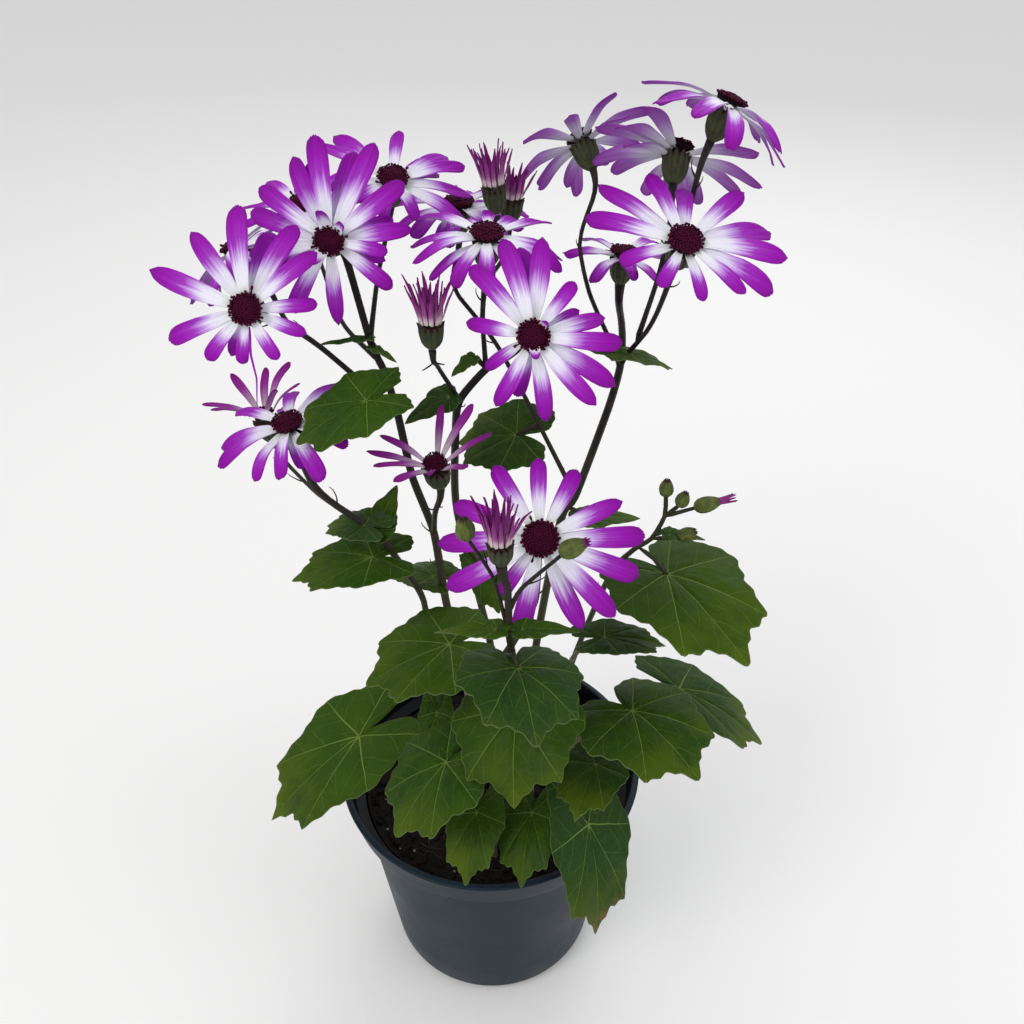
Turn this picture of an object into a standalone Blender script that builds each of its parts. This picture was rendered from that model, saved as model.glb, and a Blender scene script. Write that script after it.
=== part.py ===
"""Florist's cineraria in flower, with its soil and its round nursery pot.

Metres, +Z up, origin at the centre of the pot's underside, front towards -Y.
Tables are in centimetres and become metres through CM.
"""
import math
import random

import bmesh
import bpy
from mathutils import Matrix, Vector

CM = 0.01
WELD = 0.000002

POT_HEIGHT = 10.8
POT_RIM_RADIUS = 6.5
POT_BAND_HEIGHT = 1.3
POT_FOOT_RADIUS = 3.6
POT_WALL = 0.18
POT_FLOOR = 0.25
POT_SIDES = 32
DRAIN_HOLES = 6
DRAIN_RADIUS = 0.3
DRAIN_CIRCLE = 2.6

SOIL_TOP = 9.3
SOIL_GAP = 0.04
HOLE_DEPTH = 0.9
HOLE_GAP = 0.04
FOOT_DEPTH = 0.7

BLADE = 0.065
RAY_THICK = 0.065
LAYER = 0.045
HUB_RADIUS = 0.42
HUB_HALF = 0.09
CALYX_TOP = -0.14
CALYX_HEIGHT = 1.0
CALYX_RADIUS = 0.47
DISC_BASE = 0.14

# Flower heads: centre, facing, disc radius, lift and curl of the rays in degrees,
# and each ray as (angle round the head, length)
HEADS = {
    "f01": ((-6.3, -4.0, 33.9), (-0.05, -0.85, 0.5), 0.42, 6, -14,
            [(5, 1.9), (38, 2.5), (62, 2.7), (95, 2.8), (125, 2.7), (160, 2.8), (198, 2.5),
             (230, 1.8), (262, 1.5), (300, 1.6), (335, 1.7)]),
    "f02": ((-4.3, -1.5, 34.9), (-0.05, -0.9, 0.42), 0.42, 6, -12,
            [(8, 2.4), (35, 2.7), (62, 3.0), (95, 2.9), (117, 2.6), (143, 2.5), (163, 2.5),
             (190, 2.4), (235, 2.4), (275, 2.4), (325, 2.2), (350, 1.7)]),
    "f03": ((-7.5, 0.2, 34.0), (-0.55, 0.05, 0.8), 0.42, 4, -34, (9, 2.5, 0)),
    "f04": ((-6.0, 3.4, 34.2), (-0.1, -0.3, 0.95), 0.42, 12, -20, (9, 2.2, 12)),
    "f05": ((-2.8, 2.0, 35.5), (0.15, -0.45, 0.85), 0.45, 8, -16,
            [(0, 2.6), (20, 2.4), (42, 2.3), (90, 2.0), (140, 2.7), (158, 2.8), (190, 2.0),
             (225, 1.7), (262, 1.6), (300, 1.8), (335, 2.6)]),
    "f06": ((-0.9, 4.6, 33.8), (0.0, -0.05, 1.0), 0.50, 6, -26, (11, 2.6, 6)),
    "f07": ((0.2, -1.0, 34.8), (0.05, -0.2, 0.98), 0.46, 4, -30,
            [(0, 2.4), (30, 2.3), (60, 2.1), (90, 1.9), (118, 2.2), (148, 2.6), (174, 2.4),
             (205, 2.4), (240, 2.0), (270, 2.2), (302, 2.7), (332, 2.5)]),
    "f08": ((1.5, -4.0, 33.1), (0.1, -0.85, 0.5), 0.43, 8, -18,
            [(16, 2.2), (52, 1.9), (84, 2.8), (106, 2.8), (130, 2.6), (170, 1.9), (212, 1.6),
             (244, 2.2), (282, 2.4), (310, 2.6), (332, 2.8), (354, 2.5)]),
    "f09": ((3.2, 4.0, 36.1), (-0.35, 0.75, 0.6), 0.40, 10, -22, (9, 2.4, 15)),
    "f10": ((6.0, 2.0, 36.3), (0.15, 0.75, 0.65), 0.48, 6, -20,
            [(12, 2.9), (36, 2.8), (62, 2.5), (88, 2.0), (113, 2.1), (145, 2.3), (172, 2.6),
             (196, 2.7), (222, 2.8), (243, 2.5), (335, 2.6)]),
    "f11": ((7.1, 0.5, 38.1), (0.4, 0.1, 0.9), 0.44, 2, -38, (11, 2.6, 10)),
    "f12": ((5.8, -2.0, 35.0), (0.1, -0.5, 0.86), 0.48, 6, -14,
            [(20, 3.1), (43, 2.7), (85, 2.5), (112, 2.6), (137, 3.2), (172, 2.9), (202, 2.0),
             (245, 1.8), (285, 1.9), (312, 2.3), (333, 2.9), (355, 3.0)]),
    "f13": ((4.7, 3.2, 32.6), (0.05, 0.05, 1.0), 0.42, 10, -24, (10, 2.2, 18)),
    "f14": ((-5.9, -3.0, 29.6), (-0.15, -0.2, 0.96), 0.45, 8, -30,
            [(15, 2.2), (55, 2.5), (100, 2.2), (150, 2.2), (182, 2.4), (210, 2.5), (240, 2.1),
             (270, 2.1), (300, 2.5), (335, 2.2)]),
    "f15": ((-7.7, 0.8, 27.7), (-0.2, 0.0, 1.0), 0.34, 52, -24, (8, 2.1, 0)),
    "f16": ((1.8, -5.0, 26.8), (0.0, -0.8, 0.6), 0.55, 4, -20,
            [(0, 3.3), (26, 2.8), (61, 2.5), (93, 2.5), (124, 2.7), (157, 2.9), (182, 3.2),
             (210, 3.3), (234, 2.2), (258, 3.1), (293, 3.2), (314, 3.4), (338, 3.4)]),
    "f17": ((-1.45, -3.4, 28.4), (-0.1, -0.3, 0.95), 0.34, 44, -12,
            [(10, 2.2), (42, 2.3), (78, 2.0), (165, 2.0), (187, 2.3), (207, 2.2), (229, 1.9),
             (270, 1.3), (320, 1.8)]),
}

# Heads that are not fully open have narrower rays
NARROW = {"f15": 0.7, "f17": 0.6}

# Half-open heads with narrow upright rays: centre, facing, ray count, ray length
QUILLS = {
    "bud_rays_back": ((0.35, 1.7, 35.5), (-0.1, 0.0, 1.0), 7, 1.7),
    "bud_rays_behind": ((0.95, 2.7, 34.8), (0.1, -0.1, 1.0), 6, 1.3),
    "bud_rays_left": ((-1.4, -3.0, 33.1), (0.0, -0.1, 1.0), 7, 1.8),
    "bud_rays_front": ((0.6, -7.6, 28.7), (-0.03, -0.1, 1.0), 7, 1.9),
}

# Stems: every run is a list of points with its first and last radius;
# a name in place of a last point means the back of that head
STEMS = {
    "stem_left": [
        ([(-0.6, 0.6, 8.6), (-0.6, 0.6, 11.0), (-1.0, -0.2, 16.0), (-1.5, -1.4, 21.1),
          (-1.8, -1.5, 24.4), (-2.4, -1.6, 26.8), (-2.7, -1.8, 29.3), (-3.0, -1.8, 30.8),
          (-3.4, -1.6, 31.8), "f02"], 0.19, 0.11),
        ([(-3.4, -1.6, 31.8), (-3.3, 0.6, 33.0), "f05"], 0.09, 0.09),
        ([(-3.2, -1.7, 31.2), (-4.6, 0.6, 31.4), "f04"], 0.09, 0.09),
        ([(-2.7, -1.8, 29.3), (-4.0, -2.0, 30.9), (-5.3, -2.0, 32.2), "f01"], 0.11, 0.09),
        ([(-5.3, -2.0, 32.2), (-6.2, -0.6, 32.0), "f03"], 0.09, 0.09),
        ([(-1.8, -1.5, 24.4), (-1.6, -2.5, 26.2), "f17"], 0.11, 0.10),
    ],
    "stem_low_left": [
        ([(-1.9, 0.2, 8.6), (-1.9, 0.2, 11.0), (-2.2, -0.6, 16.5), (-2.3, -1.6, 21.3),
          (-2.8, -2.8, 23.9), (-3.6, -3.2, 25.8), (-4.7, -3.2, 26.7), (-5.6, -3.0, 27.5),
          "f14"], 0.15, 0.09),
        ([(-4.7, -3.2, 26.7), (-5.8, -1.2, 25.9), "f15"], 0.08, 0.08),
    ],
    "stem_mid": [
        ([(0.5, 1.2, 8.6), (0.5, 1.2, 11.0), (0.0, 1.0, 17.0), (-1.1, 0.6, 23.8),
          (-1.0, 0.0, 27.6), (-0.8, -0.5, 29.1), (0.1, -0.8, 30.4), (0.9, -1.2, 31.1),
          "f08"], 0.18, 0.10),
        ([(0.1, -0.8, 30.4), (0.0, -0.8, 32.4), "f07"], 0.09, 0.09),
        ([(0.0, -0.8, 32.0), (0.1, 1.0, 33.2), "bud_rays_back"], 0.08, 0.08),
        ([(0.06, 0.4, 32.8), (0.7, 1.8, 33.1), "bud_rays_behind"], 0.08, 0.08),
        ([(-0.8, -0.5, 29.1), (-1.3, -1.5, 30.7), (-1.4, -2.7, 31.7), "bud_rays_left"],
         0.09, 0.08),
    ],
    "stem_right": [
        ([(1.6, 0.9, 8.6), (1.6, 0.9, 11.0), (1.9, 0.5, 17.0), (2.7, 0.0, 23.8),
          (3.2, 0.0, 24.9), (4.2, 0.0, 28.6), (4.5, 0.0, 30.3), (4.6, 1.4, 31.0), "f13"],
         0.18, 0.10),
        ([(4.47, 0.02, 30.22), (3.4, 0.6, 32.4), (3.1, 2.0, 33.8), "f09"], 0.09, 0.09),
        ([(4.5, 0.0, 30.3), (5.3, -0.8, 32.0), "f12"], 0.09, 0.09),
        ([(4.9, -0.4, 31.2), (5.4, -0.1, 33.0), (5.8, 0.6, 34.5), "f10"], 0.09, 0.09),
        ([(5.4, -0.1, 33.0), (6.2, 0.1, 35.0), "f11"], 0.09, 0.09),
        ([(3.2, 0.0, 24.9), (0.5, 2.0, 29.7), (-1.2, 3.6, 31.4), "f06"], 0.11, 0.09),
    ],
    "stem_front": [
        ([(0.1, -0.9, 8.6), (0.1, -0.9, 11.0), (0.2, -2.2, 16.0), (0.6, -3.9, 20.6),
          (0.95, -6.4, 23.1), (0.85, -7.3, 24.9), (0.8, -7.5, 27.2), "bud_rays_front"],
         0.16, 0.10),
        ([(0.6, -3.9, 20.6), (1.7, -4.0, 23.4), "f16"], 0.12, 0.10),
        ([(0.85, -7.3, 24.9), (0.4, -7.4, 27.2), (-0.3, -7.6, 28.8)], 0.08, 0.07),
        ([(0.82, -7.4, 25.9), (1.2, -7.5, 26.9), (2.3, -7.6, 28.2)], 0.08, 0.07),
    ],
    "stem_buds": [
        ([(3.0, 0.6, 8.6), (3.0, 0.6, 11.0), (3.3, 0.2, 16.0), (4.5, -1.0, 22.0),
          (5.2, -1.6, 23.7), (5.8, -1.6, 24.2), (6.2, -1.5, 25.1), (6.2, -1.3, 25.8)],
         0.13, 0.08),
        ([(6.2, -1.5, 25.1), (6.6, -1.5, 25.5)], 0.08, 0.07),
        ([(6.2, -1.5, 25.1), (7.2, -1.5, 25.45)], 0.08, 0.07),
        ([(5.8, -1.6, 24.2), (6.7, -1.9, 24.5)], 0.08, 0.07),
    ],
}

# Closed buds on a stem: centre, direction, radius, length
BUDS = {
    "stem_front": [((-0.35, -7.6, 29.1), (-0.1, 0.0, 1.0), 0.28, 0.7),
                   ((2.6, -7.6, 28.45), (0.9, 0.0, 0.5), 0.28, 0.8)],
    "stem_buds": [((6.2, -1.25, 26.1), (0.0, 0.0, 1.0), 0.25, 0.65),
                  ((6.75, -1.5, 25.8), (0.3, 0.0, 1.0), 0.24, 0.6),
                  ((7.6, -1.5, 25.6), (0.95, 0.0, 0.3), 0.28, 0.9),
                  ((6.95, -1.95, 24.65), (0.8, -0.1, 0.5), 0.26, 0.65)],
}

# Leaves on stems: base, heading, tilt below level, roll, length, width, sag, outline,
# where the stalk starts
STEM_LEAVES = {
    "stem_left": [
        ((-3.3, -3.9, 31.0), 194, 18, -22, 2.5, 2.4, 0.25, "lobed", (-2.8, -1.9, 29.5)),
        ((-3.5, -1.7, 31.9), 178, 4, 0, 1.5, 0.45, 0.1, "lance", (-3.38, -1.62, 31.72)),
        ((-3.3, -1.9, 31.7), 330, 10, 0, 0.9, 0.4, 0.1, "lance", (-3.27, -1.62, 31.55)),
        ((-1.9, -0.9, 21.9), 140, 12, 0, 2.3, 2.0, 0.2, "lobed", (-1.55, -1.4, 21.3)),
    ],
    "stem_low_left": [
        ((-3.5, -3.5, 25.9), 70, -28, 0, 1.9, 1.3, 0.1, "lance", (-3.5, -3.2, 25.6)),
        ((-3.8, -3.4, 26.1), 150, 10, -10, 1.8, 1.6, 0.2, "lobed", (-3.6, -3.2, 25.8)),
        ((-3.7, -3.3, 24.7), 185, 4, -9, 2.8, 2.6, 0.25, "lobed", (-2.6, -2.3, 22.9)),
    ],
    "stem_mid": [
        ((-1.1, -0.8, 29.4), 200, 16, -12, 1.7, 1.3, 0.2, "lance", (-0.85, -0.4, 28.9)),
        ((-0.3, -1.2, 31.0), 215, 22, 0, 0.9, 0.7, 0.1, "lance", (0.0, -0.8, 30.5)),
        ((-0.2, -0.4, 21.9), 292, 14, 0, 1.9, 1.7, 0.2, "lobed", (-0.75, 0.6, 22.1)),
    ],
    "stem_right": [
        ((1.1, 0.9, 26.9), 160, 10, -27, 2.5, 3.2, 0.25, "lobed", (1.95, 0.95, 27.2)),
        ((4.7, -0.4, 30.7), 20, 16, 0, 1.8, 1.3, 0.2, "lobed", (4.5, -0.03, 30.12)),
        ((4.3, -0.5, 30.8), 150, 0, 0, 1.4, 0.8, 0.1, "lance", (4.42, -0.02, 30.03)),
        ((3.5, -0.3, 24.1), 20, 6, 0, 2.4, 1.4, 0.15, "lance", (3.0, -0.05, 24.4)),
    ],
    "stem_front": [
        ((1.1, -7.65, 23.9), 283, -8, -8, 2.7, 4.0, 0.3, "lobed", (0.88, -7.0, 24.0)),
        ((0.5, -7.6, 25.4), 165, 8, 0, 2.0, 0.9, 0.15, "lance", (0.84, -7.35, 25.2)),
        ((1.2, -7.6, 25.4), 12, 4, 0, 1.8, 0.9, 0.15, "lance", (0.84, -7.35, 25.1)),
    ],
    "stem_buds": [
        ((6.3, -1.9, 24.6), 8, 8, 0, 1.4, 0.8, 0.1, "lance", (5.9, -1.6, 24.35)),
        ((6.4, -2.1, 23.0), 298, -6, 5, 4.4, 5.0, 0.25, "lobed", (5.4, -1.6, 23.8)),
    ],
}

# Leaves on their own stalks: each node holds (base, heading, tilt, roll, length, width,
# sag, foot in the soil)
LEAVES = {
    "leaf_centre_left": [((-1.2, -4.2, 21.6), 197, 6, 0, 3.1, 4.4, 0.25, (-0.5, -1.7))],
    "leaf_centre_front": [((1.1, -5.4, 19.7), 262, 22, 16, 3.1, 5.0, 0.3, (0.9, -2.9))],
    "leaf_centre_back": [((2.3, -3.3, 17.7), 292, 18, 0, 1.9, 2.2, 0.2, (1.7, -2.2))],
    "leaf_right_small": [((4.2, -3.2, 21.0), 8, 4, -6, 2.3, 2.2, 0.2, (1.7, -1.1))],
    "leaf_right_far": [((7.3, -2.4, 17.6), 345, 16, -12, 3.8, 4.2, 0.25, (3.3, -0.9))],
    "leaf_right_front": [((5.1, -5.3, 19.5), 312, -4, -8, 3.1, 5.2, 0.3, (2.9, -1.9))],
    "leaf_left_low": [((-5.0, -3.0, 15.6), 204, 26, -8, 4.8, 4.6, 0.25, (-2.7, -1.2))],
    "leaf_left_front": [((-1.4, -5.7, 17.3), 222, 20, 10, 3.0, 4.4, 0.3, (-1.0, -2.7))],
    "leaf_left_folded": [((-1.9, -3.3, 17.3), 268, 40, 0, 1.9, 1.4, 0.2, (-1.6, -2.2))],
    "leaf_right_low": [((4.0, -5.2, 16.6), 245, 4, 8, 2.2, 2.7, 0.2, (3.4, -2.5))],
    "leaf_front_pair": [((-0.4, -5.4, 14.1), 257, 18, 8, 2.5, 2.4, 0.3, (0.2, -3.9)),
                        ((1.7, -5.1, 13.7), 257, 12, 8, 2.6, 2.6, 0.3, (0.2, -3.9))],
    "leaf_front_drooping": [((3.8, -5.7, 13.8), 290, 48, -10, 4.4, 3.5, 0.35, (2.2, -4.2))],
}

LOBED = [(0, 1.0), (19, 0.8), (38, 0.95), (60, 0.76), (82, 0.86), (106, 0.68), (130, 0.72),
         (157, 0.46), (180, 0.1)]
LANCE = [(0, 1.0), (14, 0.72), (34, 0.5), (70, 0.42), (125, 0.3), (180, 0.12)]

FINISHES = {
    "slate_plastic": (0.055, 0.065, 0.085, 0.45),
    "dark_soil": (0.012, 0.009, 0.007, 0.95),
    "green_stem": (0.07, 0.09, 0.05, 0.6),
    "green_leaf": (0.045, 0.13, 0.02, 0.5),
    "violet_ray": (0.38, 0.02, 0.5, 0.5),
    "maroon_disc": (0.09, 0.0, 0.02, 0.8),
}


def clear_scene():
    for item in list(bpy.data.objects):
        bpy.data.objects.remove(item, do_unlink=True)


def make_collection(name, hidden=False):
    group = bpy.data.collections.new(name)
    bpy.context.scene.collection.children.link(group)
    group.hide_render = hidden
    return group


def make_material(name):
    red, green, blue, rough = FINISHES[name]
    material = bpy.data.materials.new(name)
    material.use_nodes = True
    shader = material.node_tree.nodes["Principled BSDF"]
    shader.inputs["Base Color"].default_value = (red, green, blue, 1.0)
    shader.inputs["Roughness"].default_value = rough
    shader.inputs["Metallic"].default_value = 0.0
    return material


def cm(values):
    return Vector(values) * CM


def object_from(bm, name, group):
    mesh = bpy.data.meshes.new(name)
    bm.to_mesh(mesh)
    bm.free()
    item = bpy.data.objects.new(name, mesh)
    group.objects.link(item)
    return item


def shell_volume(faces):
    total = 0.0
    for face in faces:
        first = face.verts[0].co
        for near, far in zip(face.verts[1:-1], face.verts[2:]):
            total += first.dot(near.co.cross(far.co)) / 6.0
    return total


def keep_main_shell(mesh):
    """Weld, keep the largest closed shell and drop scraps and sealed hollows."""
    bm = bmesh.new()
    bm.from_mesh(mesh)
    bmesh.ops.remove_doubles(bm, verts=bm.verts, dist=WELD)
    bmesh.ops.dissolve_degenerate(bm, edges=bm.edges, dist=WELD)
    unseen = set(bm.faces)
    shells = []
    while unseen:
        start = unseen.pop()
        shell = {start}
        queue = [start]
        while queue:
            face = queue.pop()
            for edge in face.edges:
                for other in edge.link_faces:
                    if other in unseen:
                        unseen.discard(other)
                        shell.add(other)
                        queue.append(other)
        shells.append(shell)
    shells.sort(key=shell_volume, reverse=True)
    for scrap in shells[1:]:
        bmesh.ops.delete(bm, geom=list(scrap), context="FACES")
    bmesh.ops.dissolve_limit(bm, angle_limit=math.radians(1.0), verts=bm.verts,
                             edges=bm.edges, use_dissolve_boundaries=False)
    bmesh.ops.triangulate(bm, faces=bm.faces)
    bm.to_mesh(mesh)
    bm.free()


def apply_modifiers(item):
    depsgraph = bpy.context.evaluated_depsgraph_get()
    mesh = bpy.data.meshes.new_from_object(item.evaluated_get(depsgraph))
    item.modifiers.clear()
    item.data = mesh


def fuse(name, pieces, group, material, solver="EXACT"):
    """One Boolean union joins all the pieces of a node."""
    item = pieces[0]
    if len(pieces) > 1:
        others = make_collection("join_" + name, hidden=True)
        for piece in pieces[1:]:
            for owner in list(piece.users_collection):
                owner.objects.unlink(piece)
            others.objects.link(piece)
        join = item.modifiers.new("join", "BOOLEAN")
        join.operation = "UNION"
        join.operand_type = "COLLECTION"
        join.collection = others
        join.solver = solver
        if solver == "EXACT":
            join.use_self = True
        apply_modifiers(item)
        for piece in list(others.objects):
            bpy.data.objects.remove(piece, do_unlink=True)
        bpy.data.collections.remove(others)
    keep_main_shell(item.data)
    item.name = name
    item.data.name = name
    item.data.materials.clear()
    item.data.materials.append(material)
    return item


def make_tube(name, points, first, last, group):
    """A six-sided stalk that narrows from first to last radius."""
    curve = bpy.data.curves.new(name, "CURVE")
    curve.dimensions = "3D"
    curve.bevel_depth = CM
    curve.bevel_resolution = 1
    curve.use_fill_caps = True
    line = curve.splines.new("POLY")
    line.points.add(len(points) - 1)
    for index, place in enumerate(points):
        part = index / (len(points) - 1)
        line.points[index].co = (*cm(place), 1.0)
        line.points[index].radius = first + (last - first) * part
    holder = bpy.data.objects.new(name, curve)
    group.objects.link(holder)
    depsgraph = bpy.context.evaluated_depsgraph_get()
    mesh = bpy.data.meshes.new_from_object(holder.evaluated_get(depsgraph))
    bpy.data.objects.remove(holder, do_unlink=True)
    bm = bmesh.new()
    bm.from_mesh(mesh)
    bmesh.ops.remove_doubles(bm, verts=bm.verts, dist=WELD)
    bmesh.ops.recalc_face_normals(bm, faces=bm.faces)
    return object_from(bm, name, group)


def head_matrix(centre, facing):
    """Z along the facing, X kept level with the picture's right."""
    normal = Vector(facing).normalized()
    across = Vector((1.0, 0.0, 0.0))
    across = (across - across.dot(normal) * normal).normalized()
    up = normal.cross(across)
    turn = Matrix((across, up, normal)).transposed().to_4x4()
    return Matrix.Translation(cm(centre)) @ turn


def head_back(name):
    table = HEADS if name in HEADS else QUILLS
    centre, facing = table[name][0], table[name][1]
    normal = Vector(facing).normalized()
    joint = Vector(centre) + normal * (CALYX_TOP - 0.85 * CALYX_HEIGHT)
    before = Vector(centre) + normal * (CALYX_TOP - 1.5 * CALYX_HEIGHT)
    return [tuple(before), tuple(joint)]


def ray_list(rays):
    if isinstance(rays, list):
        return rays
    count, length, turn = rays
    rng = random.Random(count * 10 + turn)
    result = []
    for index in range(count):
        angle = turn + 360.0 * index / count + rng.uniform(-4.0, 4.0)
        result.append((angle, length * rng.uniform(0.9, 1.04)))
    return result


def make_ray(name, matrix, angle, length, width, lift, curl, start, level, roll, group):
    """A strap-shaped ray: narrow root, widest past the middle, short blunt tip."""
    bm = bmesh.new()
    rows = []
    along = [0.0, 0.22, 0.7, 1.0]
    wide = [0.24, 0.5, 1.0, 0.4]
    reach = length - start
    radius, height, before = start, level, 0.0
    for part, share in zip(along, wide):
        slope = math.radians(lift + curl * part)
        step = (part - before) * reach
        radius += step * math.cos(slope)
        height += step * math.sin(slope)
        before = part
        half = 0.5 * width * share
        bank = math.radians(roll * part)
        side = half * math.cos(bank)
        rise = half * math.sin(bank)
        rows.append([bm.verts.new((radius * CM, -side * CM, (height - rise) * CM)),
                     bm.verts.new((radius * CM, side * CM, (height + rise) * CM))])
    for near, far in zip(rows[:-1], rows[1:]):
        bm.faces.new((near[0], far[0], far[1], near[1]))
    bmesh.ops.triangulate(bm, faces=bm.faces)
    bmesh.ops.solidify(bm, geom=bm.faces[:], thickness=RAY_THICK * CM)
    bmesh.ops.translate(bm, verts=bm.verts, vec=(0, 0, 0.5 * RAY_THICK * CM))
    bmesh.ops.recalc_face_normals(bm, faces=bm.faces)
    turn = matrix @ Matrix.Rotation(math.radians(angle), 4, "Z")
    bmesh.ops.transform(bm, matrix=turn, verts=bm.verts)
    return object_from(bm, name, group)


def make_hub(name, matrix, radius, group):
    bm = bmesh.new()
    bmesh.ops.create_cone(bm, cap_ends=True, segments=8, radius1=radius * CM,
                          radius2=radius * CM, depth=2 * HUB_HALF * CM)
    bmesh.ops.transform(bm, matrix=matrix, verts=bm.verts)
    return object_from(bm, name, group)


def make_rays(name, head, group, material):
    centre, facing, disc_radius, lift, curl, rays = head
    matrix = head_matrix(centre, facing)
    hub = min(HUB_RADIUS, disc_radius + 0.06)
    pieces = [make_hub(name, matrix, hub, group)]
    share = NARROW.get(name, 1.0)
    for index, (angle, length) in enumerate(ray_list(rays)):
        layer = 1 if index % 2 else -1
        width = (0.19 * length + 0.08) * share
        pieces.append(make_ray("ray", matrix, angle, length, width, lift + 3 * layer,
                               curl, hub - 0.12, LAYER * layer, 8 * layer, group))
    return fuse("rays_" + name, pieces, group, material)


def make_quills(name, head, group, material):
    centre, facing, count, length = head
    matrix = head_matrix(centre, facing)
    pieces = [make_hub(name, matrix, 0.34, group)]
    rng = random.Random(count)
    for index in range(count):
        angle = 360.0 * (index + rng.uniform(-0.12, 0.12)) / count
        lift = 76 - 10 * (index % 3 == 0)
        pieces.append(make_ray("ray", matrix, angle, length * rng.uniform(0.8, 1.05),
                               0.22, lift, -4, 0.22, 0, 0, group))
    return fuse(name, pieces, group, material)


def make_disc(name, head, group, material):
    """A low dome whose rim and rings stand up as blunt florets."""
    centre, facing, radius = head[0], head[1], head[2]
    matrix = head_matrix(centre, facing)
    profile = [(0.92, 0.0), (1.0, 0.35), (0.6, 0.85)]
    sides = 10
    bm = bmesh.new()
    rings = []
    for level, (spread, rise) in enumerate(profile):
        ring = []
        for index in range(sides):
            bump = 0.07 if (index + level) % 2 else -0.05
            bump = bump if level else 0.0
            angle = 2 * math.pi * index / sides
            across = radius * (spread + bump)
            height = DISC_BASE + radius * (0.5 * rise + 0.6 * bump)
            ring.append(bm.verts.new((across * math.cos(angle) * CM,
                                      across * math.sin(angle) * CM, height * CM)))
        rings.append(ring)
    for low, high in zip(rings[:-1], rings[1:]):
        for index in range(sides):
            after = (index + 1) % sides
            bm.faces.new((low[index], low[after], high[after], high[index]))
    bm.faces.new(list(reversed(rings[0])))
    top = bm.verts.new((0, 0, (DISC_BASE + 0.5 * radius) * CM))
    for index in range(sides):
        bm.faces.new((rings[-1][index], rings[-1][(index + 1) % sides], top))
    bmesh.ops.triangulate(bm, faces=bm.faces)
    bmesh.ops.recalc_face_normals(bm, faces=bm.faces)
    bmesh.ops.transform(bm, matrix=matrix, verts=bm.verts)
    return fuse(name, [object_from(bm, name, group)], group, material)


def make_calyx(name, centre, facing, group):
    """The ribbed green cup behind a head."""
    matrix = head_matrix(centre, facing)
    profile = [(0.94, 0.0), (1.04, -0.55), (0.4, -1.0)]
    sides = 10
    bm = bmesh.new()
    rings = []
    for spread, drop in profile:
        ring = []
        for index in range(sides):
            rib = 1.06 if index % 2 else 0.94
            angle = 2 * math.pi * index / sides
            across = CALYX_RADIUS * spread * rib
            ring.append(bm.verts.new((across * math.cos(angle) * CM,
                                      across * math.sin(angle) * CM,
                                      (CALYX_TOP + drop * CALYX_HEIGHT) * CM)))
        rings.append(ring)
    for low, high in zip(rings[:-1], rings[1:]):
        for index in range(sides):
            after = (index + 1) % sides
            bm.faces.new((low[index], high[index], high[after], low[after]))
    bm.faces.new(rings[0])
    bm.faces.new(list(reversed(rings[-1])))
    bmesh.ops.recalc_face_normals(bm, faces=bm.faces)
    bmesh.ops.transform(bm, matrix=matrix, verts=bm.verts)
    return object_from(bm, name, group)


def make_bud(name, bud, group):
    centre, direction, radius, length = bud
    bm = bmesh.new()
    bmesh.ops.create_uvsphere(bm, u_segments=6, v_segments=4, radius=radius * CM)
    bmesh.ops.scale(bm, verts=bm.verts, vec=(1, 1, 0.5 * length / radius))
    bmesh.ops.transform(bm, matrix=head_matrix(centre, direction), verts=bm.verts)
    return object_from(bm, name, group)


def leaf_outline(shape):
    half = LOBED if shape == "lobed" else LANCE
    right = [(angle, reach) for angle, reach in half]
    left = [(-angle, reach) for angle, reach in reversed(half[1:-1])]
    return right + left


def make_blade(name, base, heading, tilt, roll, length, width, sag, shape, group):
    """A palmate or lance-shaped blade fanned from the top of its stalk."""
    outline = leaf_outline(shape)
    widest = max(reach * math.sin(math.radians(angle)) for angle, reach in outline)
    spread = 0.5 * width / (widest * length)
    rings = (0.55, 1.0) if width > 3.0 else (1.0,)
    bm = bmesh.new()
    heart = bm.verts.new((0, 0, 0))
    loops = []
    for ring in rings:
        loop = []
        for angle, reach in outline:
            along = ring * reach * math.cos(math.radians(angle))
            across = ring * reach * math.sin(math.radians(angle)) * spread
            drop = sag * (along * along + 0.7 * across * across)
            fold = 0.1 * abs(across)
            loop.append(bm.verts.new((along * length * CM, across * length * CM,
                                      (fold - drop) * length * CM)))
        loops.append(loop)
    count = len(outline)
    for index in range(count):
        after = (index + 1) % count
        bm.faces.new((heart, loops[0][index], loops[0][after]))
        for inner, outer in zip(loops[:-1], loops[1:]):
            bm.faces.new((inner[index], outer[index], outer[after], inner[after]))
    bmesh.ops.triangulate(bm, faces=bm.faces)
    bmesh.ops.solidify(bm, geom=bm.faces[:], thickness=BLADE * CM)
    bmesh.ops.recalc_face_normals(bm, faces=bm.faces)
    turn = Matrix.Rotation(math.radians(heading), 4, "Z")
    lower = Matrix.Rotation(math.radians(tilt), 4, "Y")
    bank = Matrix.Rotation(math.radians(roll), 4, "X")
    bmesh.ops.transform(bm, matrix=Matrix.Translation(cm(base)) @ turn @ lower @ bank,
                        verts=bm.verts)
    return object_from(bm, name, group)


def stalk_top(base):
    """The stalk ends inside the thickness of its blade."""
    return (base[0], base[1], base[2] + 0.01)


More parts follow.
